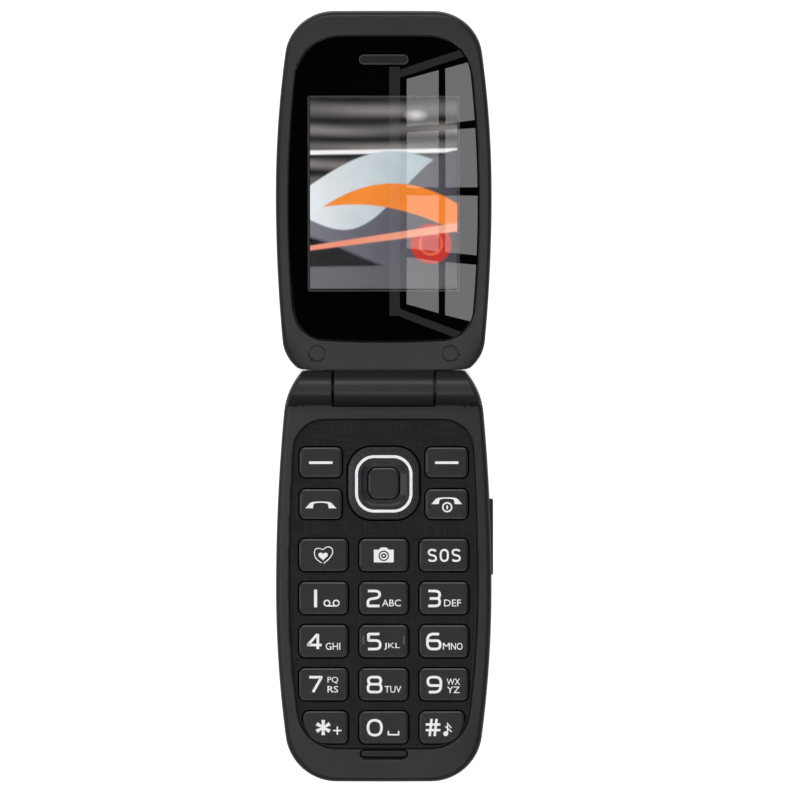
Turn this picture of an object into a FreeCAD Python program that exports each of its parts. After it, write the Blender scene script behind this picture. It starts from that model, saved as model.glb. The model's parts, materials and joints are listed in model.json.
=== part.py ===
import FreeCAD, Part
import os
from collections import namedtuple
from math import cos, pi, sin, sqrt

from FreeCAD import Vector

# A keypad phone with a hinged lid, lying open on its back. All sizes are in millimetres.
# X points to the right, Y from the keypad towards the lid, Z up out of the keypad.
# The origin is the middle of the battery door's flat face, under the base's widest line.
# Lid pieces are drawn with the lid opened flat, then turned up to the opened lid's tilt.

# Overall form
BASE_THICKNESS = 11.6
LID_THICKNESS = 8.4
CLOSED_GAP = 0.3
HINGE_Y = 50.0
OPEN_TILT = 15.0
WALL = 1.5
FIT = 0.1
GLUE = 0.05
HALF_PARTING_GAP = 0.05
DRAFT_ROOM = 0.2
HIDDEN_RUNS = 4

# Shells: how deep the front ones reach and how their edges are broken
FRONT_COVER_DEPTH = 4.6
LID_BEZEL_DEPTH = 2.6
BASE_RIM_BEVEL = 0.9
LID_RIM_BEVEL = 0.7
BASE_BACK_BEVEL = 1.6
LID_DRAFT = 1.7
LEDGE_WIDTH = 0.5
LEDGE_THICKNESS = 0.6

# Keypad grid, from which the plate and the base's outline follow
KEY_WIDTH = 12.25
KEY_HEIGHT = 8.1
KEY_CORNER_CUT = 1.0
COLUMN_PITCH = 15.05
ROW_PITCH = 10.77
FIRST_ROW_DROP = 41.75
KEY_ROWS = (
    ("favourite", "camera", "sos"),
    ("1", "2", "3"),
    ("4", "5", "6"),
    ("7", "8", "9"),
    ("star", "0", "hash"),
)
PLATE_SIDE_MARGIN = 2.325
PLATE_LOW_MARGIN = 1.27
PLATE_TOP_DROP = 7.9
FRAME_SIDE = 3.5
FRAME_LOW_END = 8.3
FRAME_HIGH_REACH = 10.0

# Navigation ring, centre key and the keys beside them
NAV_WIDTH = 18.0
NAV_HEIGHT = 18.25
NAV_CORNER = 5.9
NAV_RUNS = 4
NAV_STANDS_OVER_KEYS = 0.1
NAV_DISH_WIDTH = 10.2
NAV_DISH_CORNER_CUT = 1.9
NAV_DISH_DEPTH = 0.3
OK_SIZE = 7.75
OK_CORNER_CUT = 1.3
OK_ROOM = 0.25
SIDE_KEY_GAP = 1.44
SIDE_KEY_WIDTH = 10.6
SIDE_KEY_HEIGHT = 7.5
SOFT_KEY_DROP = 18.6
CALL_KEY_DROP = 29.0
CORNER_KEY_REACH = 20.2
CORNER_KEY_MARGIN = 0.75

# Keypad section
PLATE_DEPTH = 1.0
PLATE_THICKNESS = 0.7
KEY_STANDS = 0.75
KEY_ROOM = 0.2
KEY_TRAVEL = 0.3
KEY_FLANGE = 0.4
KEY_FLANGE_THICKNESS = 0.5
KEY_BEVEL = 0.3
PUSHER_SIZE = 2.0
NAV_FLANGE_DROP = 0.25
NAV_FLANGE_THICKNESS = 0.2
NAV_FLANGE_CUT = 4.0
NAV_PAD_DROP = 0.2
NAV_PAD_THICKNESS = 0.4
DOME_FILM = 0.05
DOME_HEIGHT = 0.1
DOME_SIZE = 3.6
SMALL_DOME_SIZE = 2.4
BOARD_THICKNESS = 0.8
BOARD_INSET = 2.2
SHIELD_HEIGHT = 1.05

# Battery door, bay and battery
DOOR_HALF_WIDTH = 23.0
DOOR_TOP_Y = 42.5
DOOR_THICKNESS = 1.2
DOOR_CORNER = 3.0
DOOR_RUNS = 4
DOOR_LIP = 0.4
DOOR_LIP_HEIGHT = 0.5
DECK_THICKNESS = 1.0
BATTERY_WIDTH = 34.0
BATTERY_LENGTH = 50.0
BATTERY_CORNER_CUT = 0.8
BATTERY_Y = 3.0
BATTERY_ROOM = 0.3
BAY_WALL = 1.0
BAY_FLOOR = 0.6
CARDS_WIDTH = 29.0
CARDS_LENGTH = 13.0
CARDS_INSET = 8.0
CONNECTOR_WIDTH = 9.0
CONNECTOR_LENGTH = 3.4

# Hinge
KNUCKLE_RADIUS = 4.4
BARREL_HALF_LENGTH = 12.5
BARREL_GAP = 0.5
BARREL_ROOM = 0.3
LID_END = 4.6
HINGE_BORE = 2.97
RUNNING_FIT = 0.05
CAM_SHAFT_RADIUS = 1.5
CAM_SHAFT_REACH = 6.0
SHAFT_HEAD_LENGTH = 4.7
PIN_BORE = 2.1
PIN_OVERLAP = 2.5
PIN_LENGTH = 9.0
FLEX_COIL_RADIUS = 1.9
FLEX_SKIN = 0.2
FLEX_WIDTH = 4.5
FLEX_TAPE = 0.12
FLEX_COIL_START = 4.6
FLEX_DROP_REACH = 9.0

# Screws: bosses, bores and heads
BOSS_RADIUS = 1.9
LID_BOSS_RADIUS = 2.4
SCREW_RADIUS = 0.8
SCREW_PILOT = 0.85
SCREW_PASS = 0.95
SCREW_HEAD_RADIUS = 1.3
SCREW_HEAD_HEIGHT = 0.7
SCREW_HEAD_ROOM = 0.2
BASE_SCREW_X = (20.9, 14.5)
BASE_SCREW_INSETS = (10.3, 4.9)
SCREW_CAP_X = 16.65
SCREW_CAP_REACH = 8.9
SCREW_CAP_RADIUS = 1.85
SCREW_CAP_THICKNESS = 0.55
ROUND_SIDES = 16

# Lid: window, displays, earpiece and camera
LENS_HALF_WIDTH = 23.7
LENS_WIDEST_REACH = 46.5
LENS_LOW_REACH = 11.7
LENS_HIGH_REACH = 90.85
LID_WIDEST_REACH = 49.2
LID_LOW_REACH = 2.1
BEZEL_SIDE = 3.28
BEZEL_HIGH_END = 5.65
LENS_THICKNESS = 0.9
LENS_LEDGE = 1.0
LENS_LEDGE_THICKNESS = 0.8
DISPLAY_WIDTH = 41.0
DISPLAY_LENGTH = 57.0
DISPLAY_THICKNESS = 2.05
DISPLAY_REACH = 49.0
EARPIECE_WIDTH = 12.3
EARPIECE_HEIGHT = 2.5
EARPIECE_REACH = 84.6
LID_SKIN = 1.2
LID_BOARD_THICKNESS = 0.6
LID_BOARD_LENGTH = 64.0
LID_BOARD_WIDTH = 38.0
LID_BOARD_END = 3.0
OUTER_WINDOW_WIDTH = 32.0
OUTER_WINDOW_LENGTH = 46.0
OUTER_WINDOW_CORNER = 5.0
OUTER_WINDOW_REACH = 66.0
OUTER_WINDOW_THICKNESS = 0.7
OUTER_WINDOW_LEDGE = 1.2
OUTER_DISPLAY_WIDTH = 26.0
OUTER_DISPLAY_LENGTH = 24.0
OUTER_DISPLAY_THICKNESS = 1.35
MAGNET_X = 18.0
MAGNET_REACH = 14.0
CAMERA_INSET = 7.0
CAMERA_BARREL = 4.1
CAMERA_BODY = 9.0
CAMERA_SIDES = 24

# Volume key, bumper, loudspeaker, antenna and charging socket
VOLUME_KEY_LENGTH = 19.1
VOLUME_KEY_HEIGHT = 2.0
VOLUME_KEY_PROUD = 0.55
VOLUME_KEY_DROP = 37.2
VOLUME_KEY_ROOM = 0.2
VOLUME_FLANGE = 0.5
VOLUME_ROCK_ROOM = 0.25
VOLUME_PIVOT_RADIUS = 0.6
SWITCH_DEPTH = 1.2
BUMPER_LENGTH = 11.7
BUMPER_WIDTH = 1.7
BUMPER_MARGIN = 1.3
BUMPER_PROUD = 0.15
SPEAKER_X = -6.8
SPEAKER_Y = -34.0
SPEAKER_WIDTH = 15.0
SPEAKER_LENGTH = 10.6
SPEAKER_HEIGHT = 3.0
SOUND_SLOT_LENGTH = 9.0
SOUND_SLOT_WIDTH = 1.0
SOUND_SLOT_PITCH = 2.2
SOUND_SLOTS = 4
MOTOR_RADIUS = 2.2
ANTENNA_WIDTH = 34.0
ANTENNA_LENGTH = 6.0
ANTENNA_SLOT = 1.2
SOCKET_WIDTH = 7.6
SOCKET_HEIGHT = 2.9
SOCKET_DEPTH = 5.6
SOCKET_SKIN = 0.3
SOCKET_INSET = 0.4

# Outlines. End: where it lies, the radius of the long sides next to it, its corners and its bow.
End = namedtuple("End", "y side corner bow")


def arc(centre, radius, start, end):
    """The shorter arc of a circle between two of its points."""
    middle = (start - centre) + (end - centre)
    middle.normalize()
    return Part.Arc(start, centre + middle * radius, end).toShape()


class Outline:
    """A closed outline, alike on both sides of X = 0, of long side arcs that meet at the widest
    line, corner arcs and end arcs, each tangent to the next. Inset draws it in all round."""

    def __init__(self, half_width, widest_y, low, high):
        self.half_width = half_width
        self.widest_y = widest_y
        self.ends = {-1: low, 1: high}

    def quarter(self, way, inset):
        """The right-hand edges from the widest line to the end's middle: side arc and corner arc,
        with the point where the end arc starts."""
        end = self.ends[way]
        side_centre = Vector(self.half_width - end.side, self.widest_y, 0)
        end_centre = Vector(0, end.y - way * end.bow, 0)
        to_side = end.side - end.corner
        to_end = end.bow - end.corner
        apart = (end_centre - side_centre).Length
        along = (to_side**2 - to_end**2 + apart**2) / (2 * apart)
        across = sqrt(to_side**2 - along**2)
        line = (end_centre - side_centre).normalize()
        square = Vector(line.y, -line.x, 0)
        candidates = [side_centre + line * along + square * across * s for s in (1, -1)]
        corner_centre = max(candidates, key=lambda p: p.x + way * p.y)
        side_way = (corner_centre - side_centre).normalize()
        end_way = (corner_centre - end_centre).normalize()
        widest = Vector(self.half_width - inset, self.widest_y, 0)
        on_side = side_centre + side_way * (end.side - inset)
        on_end = end_centre + end_way * (end.bow - inset)
        edges = [
            arc(side_centre, end.side - inset, widest, on_side),
            arc(corner_centre, end.corner - inset, on_side, on_end),
        ]
        return edges, on_end, end_centre, end.bow - inset

    def face(self, inset=0.0):
        edges = []
        for way in (-1, 1):
            right, on_end, end_centre, bow = self.quarter(way, inset)
            left = [e.mirror(Vector(0, 0, 0), Vector(1, 0, 0)) for e in right]
            across = Vector(-on_end.x, on_end.y, 0)
            edges += right + left + [arc(end_centre, bow, on_end, across)]
        return Part.Face(Part.Wire(Part.__sortEdges__(edges)))

    def chord_face(self, inset):
        """The outline with each arc as a few straight runs, for edges that nobody sees."""
        right = []
        for way in (-1, 1):
            edges, on_end, _, _ = self.quarter(way, inset)
            run = [p for e in edges for p in e.discretize(HIDDEN_RUNS + 1)[:-1]] + [on_end]
            right += run if way > 0 else run[:0:-1]
        left = [Vector(-p.x, p.y, p.z) for p in reversed(right)]
        return Part.Face(Part.makePolygon(right + left + right[:1]))

    def solid(self, low_z, high_z, inset=0.0, hidden=False):
        face = self.chord_face(inset) if hidden else self.face(inset)
        face.translate(Vector(0, 0, low_z))
        return face.extrude(Vector(0, 0, high_z - low_z))

    def drafted(self, low_z, high_z, draft):
        """A solid whose walls lean in towards its lower face."""
        wires = []
        for z, inset in ((low_z, draft), (high_z, 0.0)):
            wire = self.face(inset).OuterWire
            wire.translate(Vector(0, 0, z))
            wires.append(wire)
        return Part.makeLoft(wires, True, True)


LAST_ROW_Y = HINGE_Y - FIRST_ROW_DROP - (len(KEY_ROWS) - 1) * ROW_PITCH
PLATE = Outline(
    COLUMN_PITCH + KEY_WIDTH / 2 + PLATE_SIDE_MARGIN,
    0.0,
    low=End(LAST_ROW_Y - KEY_HEIGHT / 2 - PLATE_LOW_MARGIN, 238.0, 9.8, 2000.0),
    high=End(HINGE_Y - PLATE_TOP_DROP, 546.0, 7.5, 1400.0),
)
BASE = Outline(
    PLATE.half_width + FRAME_SIDE,
    PLATE.widest_y,
    low=End(PLATE.ends[-1].y - FRAME_LOW_END, 285.0, 12.9, 2000.0),
    high=End(HINGE_Y + FRAME_HIGH_REACH, 480.0, 17.6, 2000.0),
)
LENS = Outline(
    LENS_HALF_WIDTH,
    HINGE_Y + LENS_WIDEST_REACH,
    low=End(HINGE_Y + LENS_LOW_REACH, 307.0, 8.25, 230.0),
    high=End(HINGE_Y + LENS_HIGH_REACH, 335.0, 11.25, 2000.0),
)
LID = Outline(
    LENS.half_width + BEZEL_SIDE,
    HINGE_Y + LID_WIDEST_REACH,
    low=End(HINGE_Y + LID_LOW_REACH, 427.0, 10.2, 400.0),
    high=End(LENS.ends[1].y + BEZEL_HIGH_END, 275.0, 12.25, 2000.0),
)

# Heights of the base's layers, from the keypad's face down and from the door up
BASE_PARTING_Z = BASE_THICKNESS - FRONT_COVER_DEPTH
HINGE_Z = BASE_THICKNESS + CLOSED_GAP / 2
FACE_Z = BASE_THICKNESS
PLATE_TOP_Z = FACE_Z - PLATE_DEPTH
PLATE_BOTTOM_Z = PLATE_TOP_Z - PLATE_THICKNESS
LEDGE_BOTTOM_Z = PLATE_BOTTOM_Z - LEDGE_THICKNESS
KEY_TOP_Z = PLATE_TOP_Z + KEY_STANDS
NAV_TOP_Z = KEY_TOP_Z + NAV_STANDS_OVER_KEYS
FLANGE_TOP_Z = PLATE_BOTTOM_Z - FIT
FLANGE_BOTTOM_Z = FLANGE_TOP_Z - KEY_FLANGE_THICKNESS
NAV_FLANGE_TOP_Z = PLATE_BOTTOM_Z - NAV_FLANGE_DROP
NAV_FLANGE_BOTTOM_Z = NAV_FLANGE_TOP_Z - NAV_FLANGE_THICKNESS
NAV_PAD_TOP_Z = NAV_FLANGE_BOTTOM_Z - NAV_PAD_DROP
NAV_PAD_BOTTOM_Z = NAV_PAD_TOP_Z - NAV_PAD_THICKNESS
DOME_TOP_Z = FLANGE_BOTTOM_Z - 2 * KEY_TRAVEL
PUSHER_BOTTOM_Z = DOME_TOP_Z + KEY_TRAVEL + GLUE
BOARD_TOP_Z = DOME_TOP_Z - DOME_FILM - DOME_HEIGHT
BOARD_BOTTOM_Z = BOARD_TOP_Z - BOARD_THICKNESS
BAY_TOP_Z = BOARD_BOTTOM_Z - SHIELD_HEIGHT - DRAFT_ROOM
BAY_FLOOR_Z = BAY_TOP_Z - BAY_FLOOR
DECK_Z = DOOR_THICKNESS + FIT
DECK_TOP_Z = DECK_Z + DECK_THICKNESS
BATTERY_Z = DECK_Z + FIT
BATTERY_TOP_Z = BAY_FLOOR_Z - FIT

# Places along the base
BASE_END_Y = HINGE_Y + KNUCKLE_RADIUS
CAVITY_END_Y = HINGE_Y - KNUCKLE_RADIUS - WALL
KNUCKLE_START = BARREL_HALF_LENGTH + BARREL_GAP
NAV_Y = HINGE_Y - (SOFT_KEY_DROP + CALL_KEY_DROP) / 2
SIDE_KEY_X = NAV_WIDTH / 2 + SIDE_KEY_GAP + SIDE_KEY_WIDTH / 2
BUMPER_Y = PLATE.ends[-1].y - BUMPER_MARGIN
BATTERY_END_Y = BATTERY_Y + BATTERY_LENGTH / 2
CARDS_Y = BATTERY_END_Y - CARDS_INSET
VOLUME_KEY_Y = HINGE_Y - VOLUME_KEY_DROP
VOLUME_KEY_Z = BASE_PARTING_Z + VOLUME_KEY_ROOM + VOLUME_KEY_HEIGHT / 2
SOCKET_TOP_Z = BOARD_BOTTOM_Z - FIT
SOCKET_Z = SOCKET_TOP_Z - SOCKET_HEIGHT / 2

# Heights of the lid's layers, from its face down
LID_BACK_Z = FACE_Z - LID_THICKNESS
LID_PARTING_Z = FACE_Z - LID_BEZEL_DEPTH
LENS_TOP_Z = FACE_Z - GLUE
LENS_BOTTOM_Z = LENS_TOP_Z - LENS_THICKNESS
LENS_SEAT_Z = LENS_BOTTOM_Z - GLUE
LENS_LEDGE_BOTTOM_Z = LENS_SEAT_Z - LENS_LEDGE_THICKNESS
DISPLAY_TOP_Z = LENS_SEAT_Z - GLUE
DISPLAY_BOTTOM_Z = DISPLAY_TOP_Z - DISPLAY_THICKNESS
LID_BOARD_TOP_Z = DISPLAY_BOTTOM_Z - DRAFT_ROOM
LID_BOARD_Z = LID_BOARD_TOP_Z - LID_BOARD_THICKNESS
OUTER_SKIN_Z = LID_BACK_Z + LID_SKIN
OUTER_WINDOW_Y = HINGE_Y + OUTER_WINDOW_REACH
CAMERA_Y = OUTER_WINDOW_Y + OUTER_WINDOW_LENGTH / 2 - CAMERA_INSET
LID_BOARD_Y = CAMERA_Y + LID_BOARD_END - LID_BOARD_LENGTH / 2
EARPIECE_Y = HINGE_Y + EARPIECE_REACH


def box(low_x, high_x, low_y, high_y, low_z, high_z):
    size = (high_x - low_x, high_y - low_y, high_z - low_z)
    return Part.makeBox(*size, Vector(low_x, low_y, low_z))


def post(x, y, radius, low_z, high_z):
    """A round post along Z."""
    return Part.makeCylinder(radius, high_z - low_z, Vector(x, y, low_z))


def rod(radius, low_x, high_x, y=HINGE_Y, z=HINGE_Z):
    """A round bar along X, on the hinge axis unless another place is given."""
    return Part.makeCylinder(radius, high_x - low_x, Vector(low_x, y, z), Vector(1, 0, 0))


def rounded(x, y, width, length, corner, low_z, high_z, runs):
    """A block centred on x, y whose four upright corners are each rounded by a few straight
    runs between points of an arc."""
    points = []
    for quarter in range(4):
        turn = quarter * pi / 2
        middle_x = (width / 2 - corner) * (1 if quarter in (0, 3) else -1)
        middle_y = (length / 2 - corner) * (1 if quarter in (0, 1) else -1)
        for n in range(runs + 1):
            angle = turn + n * pi / (2 * runs)
            point = Vector(x + middle_x + corner * cos(angle), y + middle_y + corner * sin(angle), low_z)
            if not points or (point - points[-1]).Length > 1e-6:
                points.append(point)
    if (points[-1] - points[0]).Length < 1e-6:
        points.pop()
    return Part.Face(Part.makePolygon(points + points[:1])).extrude(Vector(0, 0, high_z - low_z))


def block(x, y, width, length, cut, low_z, high_z):
    """A block centred on x, y with its four upright edges cut off at 45 degrees."""
    return rounded(x, y, width, length, cut, low_z, high_z, 1)


def flats(x, y, radius, low_z, high_z, sides=8):
    """A post or hole with flat sides."""
    return rounded(x, y, 2 * radius, 2 * radius, radius, low_z, high_z, sides // 4)


def along_hinge(shape):
    """Lays a shape drawn along Z from the origin onto the hinge axis, along X."""
    shape.rotate(Vector(0, 0, 0), Vector(0, 1, 0), 90)
    shape.translate(Vector(0, HINGE_Y, HINGE_Z))
    return shape


def slab(x, y, width, length, corner, low_z, high_z):
    """A block with four rounded upright edges, centred on x, y."""
    solid = box(x - width / 2, x + width / 2, y - length / 2, y + length / 2, low_z, high_z)
    upright = [e for e in solid.Edges if abs(e.Vertexes[0].Z - e.Vertexes[1].Z) > GLUE]
    return solid.makeFillet(corner, upright)


def pill(x, y, length, width, low_z, high_z):
    """A block along X with half-round ends."""
    reach = (length - width) / 2
    ends = [post(x + s * reach, y, width / 2, low_z, high_z) for s in (-1, 1)]
    middle = box(x - reach, x + reach, y - width / 2, y + width / 2, low_z, high_z)
    return middle.fuse(ends).removeSplitter()


def edges_at(shape, z):
    """The edges of a shape that lie level at height z."""
    level = lambda e: abs(e.BoundBox.ZMin - z) < 1e-4 and abs(e.BoundBox.ZMax - z) < 1e-4
    return [e for e in shape.Edges if level(e)]


def below_end(y):
    """Everything of the base up to a line across it."""
    return box(-2 * BASE.half_width, 2 * BASE.half_width, 2 * BASE.ends[-1].y, y,
               -BASE_THICKNESS, 2 * HINGE_Z)


def beyond(y):
    """Everything of the lid past a line across it."""
    return box(-2 * LID.half_width, 2 * LID.half_width, y, LID.ends[1].y + HINGE_Y,
               -LID_THICKNESS, 2 * HINGE_Z)


# Base shells


def base_screw_places():
    insets = (HINGE_Y - BASE_SCREW_INSETS[0], BASE.ends[-1].y + BASE_SCREW_INSETS[1])
    return [(s * x, y) for x, y in zip(BASE_SCREW_X, insets) for s in (-1, 1)]


def base_upper_form():
    """The front cover's outer form: the base's outline with a bevelled rim, and the two side
    knuckles that stand up at its hinge end, cut off by the same outline."""
    form = BASE.solid(BASE_PARTING_Z + HALF_PARTING_GAP, FACE_Z)
    form = form.makeChamfer(BASE_RIM_BEVEL, edges_at(form, FACE_Z))
    form = form.common(below_end(BASE_END_Y))
    tall = BASE.solid(HINGE_Z - 2 * KNUCKLE_RADIUS, HINGE_Z + 2 * KNUCKLE_RADIUS)
    knuckles = rod(KNUCKLE_RADIUS, -BASE.half_width, BASE.half_width).common(tall)
    return form.fuse(knuckles)


def barrel_notch():
    """Room for the lid's centre barrel and for the neck that joins it to the lid."""
    half = KNUCKLE_START
    radius = KNUCKLE_RADIUS + BARREL_ROOM
    sweep = rod(radius, -half, half)
    behind = box(-half, half, HINGE_Y, HINGE_Y + 2 * radius, HINGE_Z - radius, HINGE_Z + radius)
    return sweep.fuse(behind)


def side_x(y):
    """Half the base's width at a place along it, beside its widest line towards the hinge."""
    end = BASE.ends[1]
    return BASE.half_width - end.side + sqrt(end.side**2 - (y - BASE.widest_y) ** 2)


def volume_key_bar(low_x, high_x, grow):
    """The volume key's bar, grown by a margin, from one X to another."""
    height = VOLUME_KEY_HEIGHT + 2 * grow
    length = VOLUME_KEY_LENGTH + 2 * grow
    bar = block(0, VOLUME_KEY_Y, height, length, height / 3, low_x, high_x)
    bar.rotate(Vector(0, 0, 0), Vector(0, 1, 0), 90)
    bar.translate(Vector(0, 0, VOLUME_KEY_Z))
    return bar


def volume_flange_x():
    """The outer face of the volume key's flange, inside the wall at its narrower end."""
    narrow = side_x(VOLUME_KEY_Y + VOLUME_KEY_LENGTH / 2 + VOLUME_FLANGE)
    return narrow - WALL - VOLUME_ROCK_ROOM


def charging_port():
    """The opening in both shells for the charging socket, at the base's lower end."""
    half_x = SOCKET_WIDTH / 2 + KEY_ROOM
    half_z = SOCKET_HEIGHT / 2 + KEY_ROOM
    end_y = BASE.ends[-1].y
    return box(-half_x, half_x, end_y - WALL, end_y + SOCKET_DEPTH, SOCKET_Z - half_z,
               SOCKET_Z + half_z)


def shaft_head(size, low_x, high_x):
    """The square head by which the left knuckle holds the cam's shaft, on the hinge axis."""
    half = size / 2
    return box(low_x, high_x, HINGE_Y - half, HINGE_Y + half, HINGE_Z - half, HINGE_Z + half)


def shaft_size():
    """The square that fits inside the hinge's bore."""
    return sqrt(2) * (HINGE_BORE - RUNNING_FIT)


def base_front_cover():
    """The keypad's frame with the hinge's side knuckles: a wall round a stepped opening in
    which the keypad plate seats, with bosses for the screws."""
    low_z = BASE_PARTING_Z
    cover = base_upper_form()
    cavity = BASE.solid(low_z - WALL, LEDGE_BOTTOM_Z, WALL, hidden=True)
    cover = cover.cut(cavity.common(below_end(CAVITY_END_Y)))
    bosses = [flats(x, y, BOSS_RADIUS, low_z + HALF_PARTING_GAP, LEDGE_BOTTOM_Z + GLUE)
              for x, y in base_screw_places()]
    cover = cover.fuse(bosses)
    head_end = KNUCKLE_START + SHAFT_HEAD_LENGTH
    cuts = [
        PLATE.solid(PLATE_BOTTOM_Z - GLUE, FACE_Z + WALL, -FIT),
        PLATE.solid(low_z, FACE_Z, LEDGE_WIDTH, hidden=True),
        barrel_notch(),
        shaft_head(shaft_size() + FIT, -head_end - FIT, -BARREL_HALF_LENGTH),
        rod(HINGE_BORE, BARREL_HALF_LENGTH, KNUCKLE_START + PIN_LENGTH - PIN_OVERLAP + FIT),
        block(0, BUMPER_Y, BUMPER_LENGTH + 2 * FIT, BUMPER_WIDTH + 2 * FIT, BUMPER_WIDTH / 3,
              FACE_Z - PLATE_DEPTH, FACE_Z + WALL),
        volume_key_bar(volume_flange_x() - WALL, BASE.half_width + WALL, VOLUME_KEY_ROOM),
        charging_port(),
    ]
    cuts += [flats(x, y, SCREW_PILOT, low_z, LEDGE_BOTTOM_Z) for x, y in base_screw_places()]
    return cover.cut(cuts)


def door_region(low_z, high_z, grow):
    """The battery door's straight-sided outline, which runs out past the base's lower end."""
    low_y = BASE.ends[-1].y - 4 * DOOR_CORNER
    top_y = DOOR_TOP_Y + grow
    width = 2 * (DOOR_HALF_WIDTH + grow)
    return rounded(0, (low_y + top_y) / 2, width, top_y - low_y, DOOR_CORNER, low_z, high_z, DOOR_RUNS)


def base_back_form():
    """The base's outer form under the parting line, with its bevelled back edge."""
    form = BASE.solid(0, BASE_PARTING_Z - HALF_PARTING_GAP)
    return form.makeChamfer(BASE_BACK_BEVEL, edges_at(form, 0))


def sound_slots(low_z, high_z):
    """The loudspeaker's slots in the door, and behind them in the deck."""
    half_x, half_y = SOUND_SLOT_LENGTH / 2, SOUND_SLOT_WIDTH / 2
    middle = (SOUND_SLOTS - 1) / 2
    rows = [SPEAKER_Y + (n - middle) * SOUND_SLOT_PITCH for n in range(SOUND_SLOTS)]
    return [box(SPEAKER_X - half_x, SPEAKER_X + half_x, y - half_y, y + half_y, low_z, high_z)
            for y in rows]


def battery_door():
    """The sliding back: a flat door that takes in the base's rounded lower end, with a lip
    along its edges that runs in grooves of the rear case."""
    panel = door_region(-FIT, DOOR_THICKNESS, 0)
    lip = door_region(DOOR_THICKNESS - DOOR_LIP_HEIGHT, DOOR_THICKNESS, DOOR_LIP)
    lip = lip.cut(below_end(BASE.ends[-1].y + 2 * BASE_BACK_BEVEL))
    door = base_back_form().common(panel.fuse(lip))
    return door.cut(sound_slots(-FIT, DOOR_THICKNESS + FIT))


def bay(low_z, high_z, grow):
    """The battery's place, grown on every side."""
    width = BATTERY_WIDTH + 2 * grow
    length = BATTERY_LENGTH + 2 * grow
    return block(0, BATTERY_Y, width, length, BATTERY_CORNER_CUT, low_z, high_z)


def base_rear_case():
    """The base's back shell: outer wall, a deck behind the door, the battery bay with its
    floor, bosses for the screws and grooves for the door's lip."""
    top_z = BASE_PARTING_Z - HALF_PARTING_GAP
    over = top_z + WALL
    case = base_back_form().common(below_end(BASE_END_Y))
    cavity = BASE.solid(DECK_TOP_Z, over, WALL, hidden=True)
    case = case.cut(cavity.common(below_end(BASE_END_Y - WALL)))
    walls = bay(DECK_Z, BAY_TOP_Z, BATTERY_ROOM + BAY_WALL)
    bosses = [flats(x, y, BOSS_RADIUS, DECK_Z, top_z) for x, y in base_screw_places()]
    case = case.fuse([walls] + bosses)
    lip_z = DOOR_THICKNESS - DOOR_LIP_HEIGHT - FIT
    groove = door_region(lip_z, DECK_Z, DOOR_LIP + FIT)
    groove = groove.cut(below_end(BASE.ends[-1].y + 2 * BASE_BACK_BEVEL - FIT))
    connector_half = CONNECTOR_WIDTH / 2 + BATTERY_ROOM
    connector_end = BATTERY_END_Y + CONNECTOR_LENGTH + 2 * KEY_ROOM
    cuts = [
        door_region(-FIT, DECK_Z, FIT),
        groove,
        bay(0, BAY_FLOOR_Z, BATTERY_ROOM),
        block(0, CARDS_Y, CARDS_WIDTH + 2 * KEY_ROOM, CARDS_LENGTH + 2 * KEY_ROOM, KEY_ROOM, 0, over),
        box(-connector_half, connector_half, BATTERY_END_Y, connector_end, 0, over),
        charging_port(),
    ]
    cuts += sound_slots(0, over)
    for x, y in base_screw_places():
        cuts.append(flats(x, y, SCREW_PASS, 0, over))
        cuts.append(flats(x, y, SCREW_HEAD_RADIUS + SCREW_HEAD_ROOM, 0,
                          DECK_Z + SCREW_HEAD_HEIGHT + SCREW_HEAD_ROOM))
    return case.cut(cuts)


# Keypad

Key = namedtuple("Key", "name x y width height")
NAV = Key("nav", 0.0, NAV_Y, NAV_WIDTH, NAV_HEIGHT)
OK = Key("ok", 0.0, NAV_Y, OK_SIZE, OK_SIZE)


def keypad_keys():
    """Every press key of the keypad but the centre one, from the two pitches of its grid."""
    keys = []
    for side, names in ((-1, ("soft_left", "call")), (1, ("soft_right", "end"))):
        for name, drop in zip(names, (SOFT_KEY_DROP, CALL_KEY_DROP)):
            keys.append(Key(name, side * SIDE_KEY_X, HINGE_Y - drop, SIDE_KEY_WIDTH, SIDE_KEY_HEIGHT))
    for row, names in enumerate(KEY_ROWS):
        y = HINGE_Y - FIRST_ROW_DROP - row * ROW_PITCH
        for column, name in zip((-1, 0, 1), names):
            x, width = column * COLUMN_PITCH, KEY_WIDTH
            if name in ("star", "hash"):
                inner = COLUMN_PITCH - KEY_WIDTH / 2
                x = column * (inner + CORNER_KEY_REACH) / 2
                width = CORNER_KEY_REACH - inner
            keys.append(Key(name, x, y, width, KEY_HEIGHT))
    return keys


def key_block(key, grow, cut, low_z, high_z):
    """A key's outline grown by a margin. The two lowest corner keys follow the plate's edge."""
    solid = block(key.x, key.y, key.width + 2 * grow, key.height + 2 * grow, cut, low_z, high_z)
    if key.name in ("star", "hash"):
        margin = CORNER_KEY_MARGIN - min(grow, KEY_ROOM)
        solid = solid.common(PLATE.solid(low_z, high_z, margin))
    return solid


def flange_block(key, grow, low_z, high_z):
    """The square-cornered flange under a key, or with a margin the mat's hole round it. In
    the two lowest rows it keeps clear of the ledge under the plate."""
    half_x, half_y = key.width / 2 + grow, key.height / 2 + grow
    solid = box(key.x - half_x, key.x + half_x, key.y - half_y, key.y + half_y, low_z, high_z)
    if key.y < LAST_ROW_Y + 1.5 * ROW_PITCH:
        margin = CORNER_KEY_MARGIN - (grow - KEY_FLANGE)
        solid = solid.common(PLATE.solid(low_z, high_z, margin, hidden=True))
    return solid


def pusher(key, high_z):
    """The square peg under a key that presses its dome."""
    half = PUSHER_SIZE / 2
    return box(key.x - half, key.x + half, key.y - half, key.y + half, PUSHER_BOTTOM_Z, high_z)


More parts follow.
